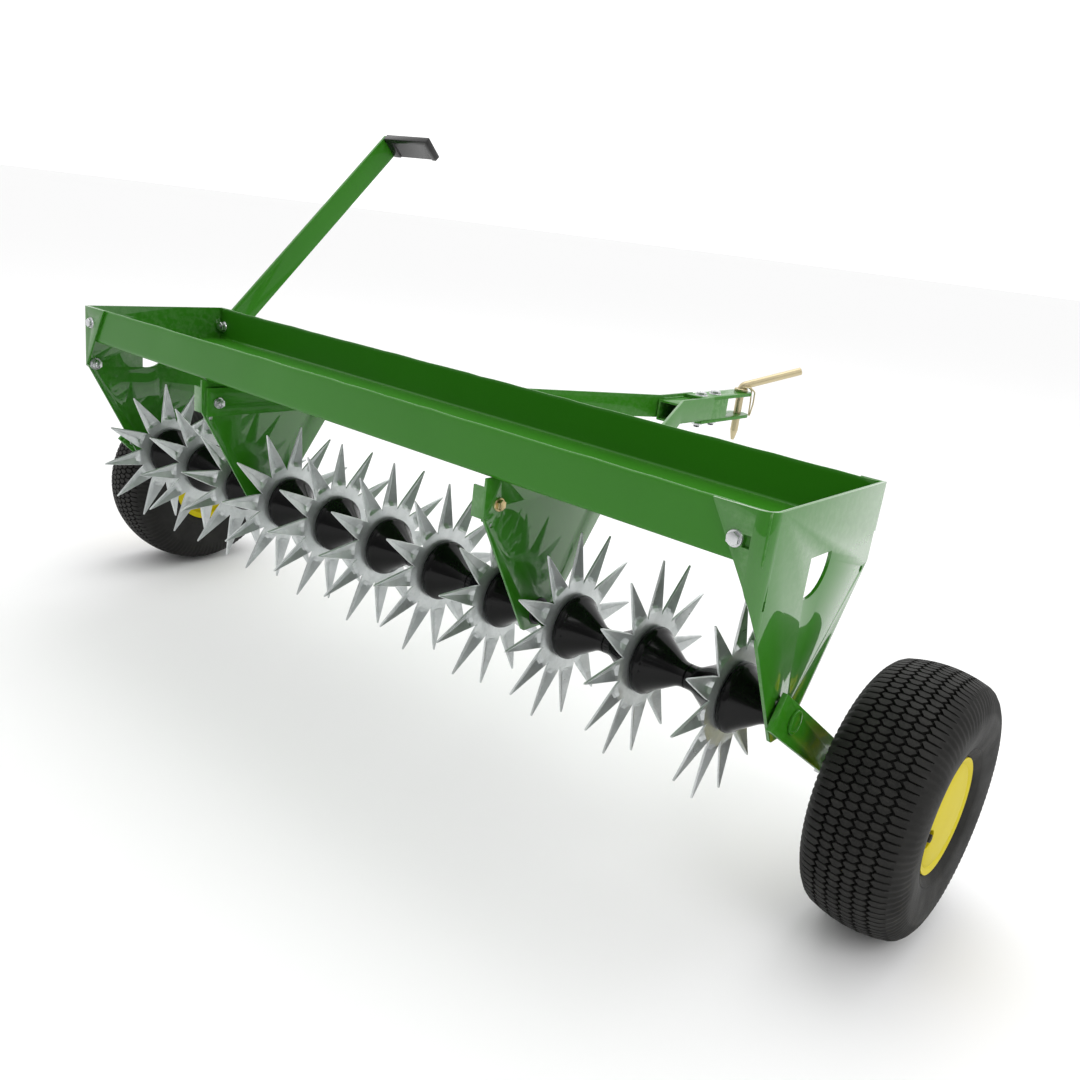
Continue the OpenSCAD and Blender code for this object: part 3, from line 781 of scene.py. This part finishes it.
@dataclass
class SidePlates:
    """End plates and hanger plates, with the bolts that hold them."""

    ease: float = 0.0007
    fastener: HexFastener = field(default_factory=lambda: HexFastener(0.0035, 0.0046, 0.0056))

    def build(self) -> None:
        """Ease the four plates and fit their bolts."""
        for side in ("left", "right"):
            Bench.eased(side + "_end_plate", "frame", GREEN_GLOSS, self.ease)
            Bench.eased(side + "_hanger_plate", "frame", GREEN_GLOSS, self.ease)
        self._tray_bolts()
        self._plate_bolts()
        dress("axle_bushings", NYLON)

    def _tray_bolts(self) -> None:
        """Bolts through the rear flanges, and studs from the tray floor into the hangers."""
        plate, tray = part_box("right_end_plate"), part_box("tray")
        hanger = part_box("right_hanger_plate")
        data = bmesh.new()
        for side in (-1, 1):
            across, down = (0.480, 0.026) if side > 0 else (0.4895, 0.020)
            seat = Vector((side * across, plate[0].y, tray[1].z - down))
            self.fastener.bolt(data, seat, Vector((0, -1, 0)), 0.0053)
            for y in (0.045, 0.160):
                seat = Vector((side * (hanger[1].x - 0.016), plate[0].y + y, tray[0].z - 0.0033))
                self.fastener.nut_only(data, seat, Vector((0, 0, -1)))
        Bench.place("tray_bolts_flanged", data, "frame", CLEAR_ZINC, ["tray_bolts"], smooth=30.0)

    def _plate_bolts(self) -> None:
        """The lever stop bolt and the two bolts through the front flanges."""
        left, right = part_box("left_end_plate"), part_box("right_end_plate")
        data = bmesh.new()
        stop = Vector((left[0].x, left[0].y + 0.0135, left[1].z - 0.077))
        HexFastener(0.004, 0.0026, 0.007).bolt(data, stop, Vector((-1, 0, 0)), 0.003)
        for side in (-1, 1):
            seat = Vector((side * (right[1].x - 0.0112), right[1].y, right[1].z - 0.0265))
            HexFastener(0.004, 0.004, 0.006).bolt(data, seat, Vector((0, 1, 0)), 0.0052)
        Bench.place("plate_bolts_flanged", data, "frame", CLEAR_ZINC, ["plate_bolts"], smooth=30.0)


@dataclass
class StarTines:
    """Formed star discs and the black hourglass hubs that turn with them."""

    count: int = 11
    teeth: int = 12
    tip: float = 0.0965
    root: float = 0.043
    hole: float = 0.0166
    sheet: float = 0.0018
    fold: float = 0.0050
    hub: float = 0.033
    waist: float = 0.0116
    bore: float = 0.00806
    twists: tuple[float, ...] = (5, 0, 14, -8, -2, -2, 0, -12, 2, -1, 5)

    def sector(self) -> list[list[Vector]]:
        """Rows of points of one tooth, from the hole to its tip; x is the way the fold is pressed."""
        half = math.pi / self.teeth
        rows = [[Vector((0, r * math.cos(a), r * math.sin(a))) for a in (-half, -half / 2, 0, half / 2, half)]
                for r in (self.hole, 0.030, 0.036)]
        base_along, base_wide = self.root * math.cos(half), self.root * math.sin(half)
        rows.append([Vector((0, a, w)) for a, w in (
            (base_along, -base_wide), (base_along + 0.0014, -base_wide / 2), (base_along + 0.0020, 0),
            (base_along + 0.0014, base_wide / 2), (base_along, base_wide))])
        for along, valley in ((0.0462, 0.12), (0.0490, 0.72), (0.0515, 1.0), (0.060, 0.84), (0.070, 0.62),
                              (0.080, 0.40), (0.089, 0.18), (0.0945, 0.05), (self.tip, 0.0)):
            wide = base_wide * (self.tip - along) / (self.tip - base_along) + 0.0004
            drop = self.fold * valley
            rows.append([Vector((-drop * (1.0 - abs(w)), along, wide * w))
                         for w in (-1.0, -0.5, 0.0, 0.5, 1.0)])
        return rows

    def star(self, number: int) -> None:
        """Press one star: one tooth, spun round the disc and given its thickness.

        Args:
            number: The star's number, from 1 at the left.
        """
        node = f"star_{number:02d}"
        centre = centre_of("tine_axle")
        low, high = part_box(node)
        middle = Vector(((low.x + high.x) / 2, centre.y, centre.z))
        data = bmesh.new()
        Bench.rows(data, self.sector())
        bmesh.ops.spin(data, geom=data.verts[:] + data.edges[:] + data.faces[:], cent=(0, 0, 0),
                       axis=(1, 0, 0), dvec=(0, 0, 0), angle=TURN, steps=self.teeth, use_duplicate=True)
        bmesh.ops.remove_doubles(data, verts=data.verts, dist=2e-5)
        bmesh.ops.recalc_face_normals(data, faces=data.faces)
        if sum(f.normal.x for f in data.faces) < 0:
            bmesh.ops.reverse_faces(data, faces=data.faces)
        bmesh.ops.solidify(data, geom=data.faces[:], thickness=self.sheet)
        Bench.bevel(data, 0.00035, above=55.0, segments=1)
        wobble = random.Random(number)
        turn = Matrix.Rotation(math.radians(self.twists[number - 1]), 4, "X")
        lean = Matrix.Rotation(math.radians(wobble.uniform(-0.35, 0.35)), 4, "Z")
        bmesh.ops.transform(data, matrix=Matrix.Translation(middle) @ lean @ turn, verts=data.verts)
        Bench.place(node + "_pressed", data, f"tine_{number:02d}", ZINC_STAR, [node], smooth=14.0)

    def hub_pair(self, number: int) -> None:
        """Turn the two hub halves that clamp one star.

        Args:
            number: The star's number, from 1 at the left.
        """
        node = f"hub_{number:02d}"
        low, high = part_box(node)
        star_low, star_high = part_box(f"star_{number:02d}")
        centre = centre_of("tine_axle")
        middle = Vector(((star_low.x + star_high.x) / 2, centre.y, centre.z))
        data = bmesh.new()
        for side, reach in ((-1, middle.x - low.x), (1, high.x - middle.x)):
            section = [(0.0002, self.bore), (0.0002, 0.0160), (0.0012, 0.0160), (0.0012, self.hub - 0.0022),
                       (0.0015, self.hub - 0.0010), (0.0024, self.hub - 0.0002), (0.0040, self.hub),
                       (0.0062, self.hub - 0.0002), (0.0082, self.hub - 0.0011), (0.0098, self.hub - 0.0027),
                       (0.0112, self.hub - 0.0048), (reach - 0.0125, self.waist + 0.0030),
                       (reach - 0.0090, self.waist + 0.0011), (reach - 0.0060, self.waist + 0.0003),
                       (reach - 0.0030, self.waist), (reach - 0.0006, self.waist),
                       (reach, self.waist - 0.0006), (reach, self.bore)]
            Bench.lathe(data, [(x * side, r) for x, r in section], middle, steps=56)
        Bench.place(node + "_moulded", data, f"tine_{number:02d}", HUB_BLACK, [node], smooth=40.0)

    def build(self) -> None:
        """Press every star and turn every hub."""
        for number in range(1, self.count + 1):
            self.star(number)
            self.hub_pair(number)


@dataclass
class Wheels:
    """Ribbed pneumatic tyres on yellow pressed rims, with caps and valves."""

    pitches: int = 104
    grooves: tuple[float, ...] = (-24.0, -12.0, 0.0, 12.0, 24.0)
    groove_wide: float = 1.75
    groove_deep: float = 4.6
    zigzag: float = 1.9
    sipe_deep: float = 2.6
    crown: float = 127.0
    shoulder: float = 34.5
    crown_drop: float = 5.5
    phases: tuple[float, ...] = (0.0, 0.12, 0.24, 0.5, 0.62, 0.74)
    sidewall: tuple[tuple[float, float], ...] = (
        (31.0, 62.0), (34.8, 51.4), (37.9, 55.4), (39.8, 58.0), (41.6, 60.8), (44.3, 65.6), (43.9, 66.6),
        (44.6, 67.6), (46.2, 74.0), (47.8, 84.0), (48.8, 93.0), (48.3, 98.0))
    lugs: tuple[tuple[float, float], ...] = ((47.4, 101.5), (45.6, 107.5), (42.4, 113.5), (38.2, 118.3))
    notch: float = 0.0085
    notch_at: float = 0.0433
    flat: float = 0.02
    rim_ease: float = 0.0004

    def _wave(self, phase: float, row: int) -> float:
        """Sideways shift of a groove at a phase of its pitch; neighbouring grooves run opposite ways."""
        swing = 1.0 - 4.0 * abs(phase - 0.5)
        return self.zigzag * swing * (1 if row % 2 else -1)

    def tread_row(self, phase: float) -> list[tuple[float, float]]:
        """The closed tyre section at one phase of the tread pitch, as (across, radius) in millimetres."""
        def top(x: float) -> float:
            """Radius of the uncut tread at a place across it."""
            return self.crown - self.crown_drop * (x / self.shoulder) ** 2

        def cut(rib: int) -> float:
            """Depth of the cross cut through a rib at this phase; neighbouring ribs are cut in turn."""
            return self.sipe_deep if phase == self.phases[1 if rib % 2 else 4] else 0.0

        lug = 0.8 if phase < 0.4 else 0.0
        ribs = len(self.grooves)
        half = [(-x, r) for x, r in self.sidewall] + [(-x - lug * 0.5, r + lug) for x, r in self.lugs]
        tread: list[tuple[float, float]] = [(-self.shoulder, top(self.shoulder) - cut(0))]
        for row, middle in enumerate(self.grooves):
            x = middle + self._wave(phase, row)
            left, right = x - self.groove_wide, x + self.groove_wide
            tread += [(left, top(left) - cut(row)), (left + 0.5, top(left) - self.groove_deep),
                      (right - 0.5, top(right) - self.groove_deep), (right, top(right) - cut(row + 1))]
        tread.append((self.shoulder, top(self.shoulder) - cut(ribs)))
        mirrored = [(x + lug * 0.5, r + lug) for x, r in reversed(self.lugs)] + list(reversed(self.sidewall))
        return half + tread + mirrored

    def tyre(self, side: str) -> None:
        """Build one tread pitch from bead to bead and spin it round the wheel.

        Args:
            side: "left" or "right".
        """
        middle = centre_of(side + "_tyre")
        pitch = TURN / self.pitches
        rows = []
        for phase in (*self.phases, 1.0):
            turn = Matrix.Rotation(pitch * phase, 3, "X")
            section = self.tread_row(0.0 if phase == 1.0 else phase)
            rows.append([middle + turn @ Vector((x * MM, 0, r * MM)) for x, r in section])
        data = bmesh.new()
        Bench.rows(data, rows, closed=True)
        bmesh.ops.spin(data, geom=data.verts[:] + data.edges[:] + data.faces[:], cent=middle, axis=(1, 0, 0),
                       dvec=(0, 0, 0), angle=TURN, steps=self.pitches, use_duplicate=True)
        bmesh.ops.remove_doubles(data, verts=data.verts, dist=2e-6)
        Bench.place(side + "_tyre_ribbed", data, side + "_wheel", TYRE_RUBBER, [side + "_tyre"], smooth=38.0)

    def cap(self, side: str) -> None:
        """Press the shallow cap over the wheel nut, pulled in round the valve.

        Args:
            side: "left" or "right".
        """
        sign = -1.0 if side == "left" else 1.0
        low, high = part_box(side + "_hub_cap")
        valve = centre_of(side + "_valve")
        middle = centre_of(side + "_tyre")
        face = (high.x if sign > 0 else -low.x) - sign * middle.x
        toward = Vector((0, valve.y - middle.y, valve.z - middle.z)).normalized()
        skin = [(face, 0.0), (face - 0.0002, 0.014), (face - 0.0006, 0.028), (face - 0.0012, 0.0385),
                (face - 0.0019, 0.0440), (face - 0.0027, 0.0472), (face - 0.0034, 0.0490),
                (face - 0.0039, 0.0497), (face - 0.0044, 0.0494), (face - 0.0037, 0.0476),
                (face - 0.0030, 0.0440), (face - 0.0023, 0.0385), (face - 0.0016, 0.028),
                (face - 0.0010, 0.0)]
        data = bmesh.new()
        Bench.lathe(data, [(x * sign, r) for x, r in skin], middle, steps=120, closed=False)
        for vert in data.verts:
            arm = Vector((0, vert.co.y - middle.y, vert.co.z - middle.z))
            reach = arm.length
            if reach < self.flat:
                continue
            sideways = (arm - toward * arm.dot(toward)).length
            if arm.dot(toward) > 0 and sideways < self.notch:
                edge = self.notch_at - math.sqrt(self.notch ** 2 - sideways ** 2)
                if arm.dot(toward) > edge:
                    vert.co -= toward * (arm.dot(toward) - edge)
        Bench.place(side + "_hub_cap_pressed", data, side + "_wheel", RIM_YELLOW, [side + "_hub_cap"],
                    smooth=40.0)

    def valve(self, side: str) -> None:
        """Turn the valve stem with its ribbed cap.

        Args:
            side: "left" or "right".
        """
        sign = -1.0 if side == "left" else 1.0
        low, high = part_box(side + "_valve")
        middle = centre_of(side + "_valve")
        root = low.x if sign > 0 else high.x
        base = Vector((root, middle.y, middle.z))
        section = [(0.0, 0.0), (0.0, 0.0043), (0.0145, 0.0043), (0.0165, 0.0038), (0.0215, 0.0033),
                   (0.0219, 0.0039)]
        for ring in range(4):
            section += [(0.0225 + ring * 0.0011, 0.0039), (0.0229 + ring * 0.0011, 0.0036)]
        section += [(0.0266, 0.0038), (0.0269, 0.0030), (0.0269, 0.0)]
        data = bmesh.new()
        Bench.lathe(data, [(x * sign, r) for x, r in section], base, steps=28, closed=False)
        Bench.place(side + "_valve_stem", data, side + "_wheel", VALVE_BLACK, [side + "_valve"], smooth=35.0)

    def build(self) -> None:
        """Build both wheels."""
        for side in ("left", "right"):
            self.tyre(side)
            self.cap(side)
            self.valve(side)
            Bench.eased(side + "_rim", side + "_wheel", RIM_YELLOW, self.rim_ease)
            dress(side + "_wheel_bearing", NYLON)


def dress(node: str, finish: Finish) -> None:
    """Give a CAD node that stays as it is its finish."""
    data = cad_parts[node].data
    data.materials.clear()
    data.materials.append(finish.material())


def paint_where(piece: bpy.types.Object, finish: Finish, wanted: Callable[[Vector], bool]) -> None:
    """Give some of a piece's faces a second finish.

    Args:
        piece: The piece.
        finish: The second finish.
        wanted: Whether a face with this middle gets it.
    """
    piece.data.materials.append(finish.material())
    for face in piece.data.polygons:
        if wanted(face.center):
            face.material_index = 1


@dataclass
class LiftAxle:
    """The cross axle, wheel arms, spindles, lift lever and its grip."""

    ease: float = 0.0008
    grip_ease: float = 0.0022
    zinc_ease: float = 0.0005
    painted_from: float = 0.5105

    def build(self) -> None:
        """Ease the carried parts, paint the axle's right end with its arm, and mould the grip."""
        for node in ("left_wheel_arm", "right_wheel_arm", "lift_lever"):
            Bench.eased(node, "lift_axle", GREEN, self.ease)
        for node in ("left_spindle", "right_spindle", "wheel_nuts", "lever_bolts"):
            Bench.eased(node, "lift_axle", CLEAR_ZINC, self.zinc_ease)
        for node in ("tine_axle", "axle_nuts"):
            piece = Bench.eased(node, "lift_axle", CLEAR_ZINC, self.zinc_ease)
            paint_where(piece, GREEN, lambda middle: middle.x > self.painted_from)
        Bench.eased("lever_grip", "lift_axle", GRIP_BLACK, self.grip_ease)


@dataclass
class Drawbar:
    """The wishbone arms, the tube between them, and the clevis straps with their bolts."""

    ease: float = 0.0007
    bead: float = 0.0021

    def build(self) -> None:
        """Ease the bars, lay the weld beads and fit the bolts."""
        for node in ("left_drawbar_arm", "right_drawbar_arm", "drawbar_tube", "hitch_straps"):
            Bench.eased(node, "frame", GREEN, self.ease)
        self._welds()
        self._bolts()

    def _welds(self) -> None:
        """Weld beads where the arms meet the tube, rippled along their length."""
        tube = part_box("drawbar_tube")
        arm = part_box("right_drawbar_arm")
        ripple = random.Random(5)
        data = bmesh.new()
        for side in (-1, 1):
            for x, z in ((tube[1].x - 0.0006, tube[1].z + 0.0004), (tube[1].x + 0.0014, arm[0].z - 0.0004)):
                path = [Vector((side * x, arm[1].y - 0.087 + i * 0.0022,
                                z + ripple.uniform(-0.0002, 0.0002))) for i in range(28)]
                Bench.rod(data, path, self.bead, sides=8, ends=(0.0004, 0.0004))
        for i, vert in enumerate(data.verts):
            vert.co.z += 0.0002 * math.sin(i * 0.9)
        Bench.place("drawbar_weld_beads", data, "frame", GREEN, smooth=60.0)

    def _bolts(self) -> None:
        """Bolts of the straps, and of the arms at the hanger plates."""
        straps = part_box("hitch_straps")
        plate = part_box("right_end_plate")
        data = bmesh.new()
        for y in (0.018, 0.061):
            seat = Vector((0, straps[0].y + y, straps[1].z))
            HexFastener(0.005, 0.005, 0.006).bolt(data, seat, Vector((0, 0, 1)), straps[1].z - straps[0].z)
        Bench.place("strap_bolts_flanged", data, "frame", CLEAR_ZINC, ["strap_bolts"], smooth=30.0)
        data = bmesh.new()
        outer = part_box("drawbar_bolts")[1].x - 0.005
        for side in (-1, 1):
            for y in (0.020, 0.170):
                seat = Vector((side * outer, plate[0].y + y, plate[1].z - 0.072))
                HexFastener(0.0033, 0.0042, 0.0056).bolt(data, seat, Vector((side, 0, 0)), 0.0073)
        bolts = Bench.place("drawbar_bolts_flanged", data, "frame", CLEAR_ZINC, ["drawbar_bolts"],
                            smooth=30.0)
        paint_where(bolts, BRASSY_ZINC, lambda middle: middle.x > 0)


@dataclass
class HitchPin:
    """The bent-handled hitch pin and the wire clip under its handle."""

    radius: float = 0.0063
    bend: float = 0.012
    rise: float = 0.009
    handle: tuple[float, float, float] = (0.0677, 0.0677, 0.0354)
    wire: float = 0.0013
    tighten: float = 0.75
    bend_steps: int = 10

    def build(self) -> None:
        """Bend the pin and the clip."""
        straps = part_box("hitch_straps")
        foot = Vector((0.0, straps[1].y - 0.0182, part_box("hitch_pin")[0].z))
        seat = straps[1].z + 0.0001
        knee = Vector((0, foot.y, seat + self.rise))
        away = Vector(self.handle).normalized()
        corner = Vector((0, 0, 1))
        turn_axis = corner.cross(away).normalized()
        angle = math.degrees(corner.angle(away))
        start = knee - corner * self.bend * math.tan(math.radians(angle / 2)) * self.tighten
        inward = (away - corner * away.dot(corner)).normalized()
        centre = start + inward * self.bend * self.tighten
        path = [foot, foot + Vector((0, 0, 0.004)), foot + Vector((0, 0, 0.016))]
        path += [foot.lerp(start, i / 3) for i in (1, 2)]
        path += Bench.arc(centre, start, angle, turn_axis, self.bend_steps)
        tail = knee + Vector(self.handle)
        path += [path[-1].lerp(tail, i / 6) for i in range(1, 6)] + [tail - away * 0.001, tail]
        data = bmesh.new()
        self._graded(data, path)
        collar = [(0.0, self.radius - 0.0003), (0.0, 0.0108), (0.0006, 0.0113), (0.0042, 0.0113),
                  (0.0050, 0.0104), (0.0050, self.radius - 0.0003)]
        ring = bmesh.new()
        Bench.lathe(ring, collar, Vector((0, 0, 0)), steps=40)
        stand = Matrix.Translation(Vector((0, foot.y, seat))) @ Matrix.Rotation(-math.pi / 2, 4, "Y")
        bmesh.ops.transform(ring, matrix=stand, verts=ring.verts)
        mesh = new_mesh("collar", ring)
        data.from_mesh(mesh)
        bpy.data.meshes.remove(mesh)
        Bench.place("hitch_pin_bent", data, "hitch_pin", YELLOW_ZINC, ["hitch_pin"], smooth=40.0)
        self._clip(Vector((0, foot.y, seat + 0.008)))

    def _graded(self, data: bmesh.types.BMesh, path: list[Vector]) -> None:
        """The pin's rod with a blunt point at its foot and a rounded tip at its handle.

        Args:
            data: The mesh to add to.
            path: The line that it follows, foot first.
        """
        Bench.rod(data, path[2:], self.radius, sides=24, ends=(self.radius, self.radius * 0.8))
        Bench.rod(data, [path[0], path[0].lerp(path[2], 0.5), path[2] + Vector((0, 0, 0.0004))],
                  self.radius * 0.72, sides=24, ends=(self.radius * 0.42, self.radius * 0.995))

    def _clip(self, pivot: Vector) -> None:
        """The wire loop that hangs from the pin's cross hole.

        Args:
            pivot: Where its cross bar passes through the pin.
        """
        shape = [(-9, 0, 0), (9, 0, 0), (10, 12, 1), (10, 21, -6), (8, 22, -26), (2.5, 21, -46),
                 (-2.5, 21, -46), (-8, 22, -26), (-10, 21, -6), (-10, 12, 1)]
        turn = Matrix.Rotation(math.radians(-45), 3, "Z")
        points = [pivot + turn @ (Vector(p) * MM) for p in shape]
        smooth: list[Vector] = []
        count = len(points)
        for i, point in enumerate(points):
            before, after = points[i - 1], points[(i + 1) % count]
            smooth += [point.lerp(before, 0.3), point.lerp(before, 0.12),
                       point.lerp((before + after) / 2, 0.06), point.lerp(after, 0.12),
                       point.lerp(after, 0.3)]
        unique = [p for i, p in enumerate(smooth) if (p - smooth[i - 1]).length > 1e-5]
        data = bmesh.new()
        Bench.rod(data, unique, self.wire, sides=10, looped=True)
        Bench.place("pin_clip_wire", data, "pin_clip", YELLOW_ZINC, ["pin_clip"], smooth=50.0)


# --------------------------------------------------------------------------- studio
@dataclass
class Studio:
    """Pale floor, soft lights and the camera."""

    azimuth: float = 38.281
    elevation: float = 17.706
    roll: float = 7.234
    lens: float = 33.518
    eye: tuple[float, float, float] = (0.8108, -1.11665, 0.5888)
    bright_side: tuple[float, float, float] = (-0.50, 0.68, 0.54)
    dim: float = 0.22
    bright: float = 1.28
    floor_radius: float = 45.0
    floor_tone: float = 0.92
    floor_gap: float = 0.0002

    def camera(self) -> None:
        """Aim the camera by its two angles and its roll."""
        a, e, r = (math.radians(v) for v in (self.azimuth, self.elevation, self.roll))
        back = Vector((math.sin(a) * math.cos(e), -math.cos(a) * math.cos(e), math.sin(e)))
        right = (-back).cross(Vector((0, 0, 1))).normalized()
        up = right.cross(-back)
        level = Matrix((right * math.cos(r) + up * math.sin(r), up * math.cos(r) - right * math.sin(r), back))
        data = bpy.data.cameras.new("view")
        data.lens, data.sensor_width = self.lens, 36.0
        data.clip_start, data.clip_end = 0.01, 60.0
        eye = new_object("view", data)
        eye.matrix_world = Matrix.Translation(self.eye) @ level.transposed().to_4x4()
        bpy.context.scene.camera = eye

    def floor(self) -> None:
        """A wide pale floor under the tyres."""
        data = bmesh.new()
        bmesh.ops.create_circle(data, cap_ends=True, segments=96, radius=self.floor_radius)
        mesh = new_mesh("floor", data)
        ground = new_object("floor", mesh)
        pale = bpy.data.materials.new("pale_floor")
        pale.use_nodes = True
        shader = pale.node_tree.nodes["Principled BSDF"]
        shader.inputs["Base Color"].default_value = (*[self.floor_tone] * 3, 1.0)
        shader.inputs["Roughness"].default_value = 0.9
        shader.inputs["Specular IOR Level"].default_value = 0.1
        mesh.materials.append(pale)
        ground.location.z = -self.floor_gap

    def lights(self) -> None:
        """A surround that is bright ahead and above and dimmer behind the viewer, with two soft panels."""
        world = bpy.data.worlds.new("surround")
        world.use_nodes = True
        tree = world.node_tree
        coords = tree.nodes.new("ShaderNodeTexCoord")
        facing = tree.nodes.new("ShaderNodeVectorMath")
        facing.operation = "DOT_PRODUCT"
        facing.inputs[1].default_value = self.bright_side
        spread = tree.nodes.new("ShaderNodeMapRange")
        spread.interpolation_type = "SMOOTHSTEP"
        spread.inputs["From Min"].default_value = -0.9
        spread.inputs["From Max"].default_value = 0.75
        spread.inputs["To Min"].default_value = self.dim
        spread.inputs["To Max"].default_value = self.bright
        tree.links.new(coords.outputs["Generated"], facing.inputs[0])
        tree.links.new(facing.outputs["Value"], spread.inputs["Value"])
        tree.links.new(spread.outputs["Result"], tree.nodes["Background"].inputs["Strength"])
        tree.nodes["Background"].inputs["Color"].default_value = (1.0, 1.0, 1.0, 1.0)
        bpy.context.scene.world = world
        panels = (("key", (2.8, -0.9, 2.2), 1.6, 20.0), ("top", (-0.4, 0.8, 3.2), 2.6, 30.0))
        for name, at, size, power in panels:
            lamp = bpy.data.lights.new(name, "AREA")
            lamp.shape, lamp.size, lamp.energy = "SQUARE", size, power
            holder = new_object(name, lamp)
            holder.location = at
            holder.rotation_euler = (Vector((0, 0, 0.2)) - Vector(at)).to_track_quat("-Z", "Y").to_euler()
        bpy.context.scene.view_settings.view_transform = "Standard"

    def build(self) -> None:
        """Set up the whole studio."""
        self.camera()
        self.floor()
        self.lights()


def main() -> None:
    """Build the sub-assemblies in order, then the studio."""
    logging.basicConfig(level=logging.INFO, format="%(message)s")
    for part in (WeightTray(), SidePlates(), Drawbar(), HitchPin(), StarTines(), LiftAxle(), Wheels(),
                 Studio()):
        log.info("building %s", type(part).__name__)
        part.build()


if __name__ == "__main__":
    main()
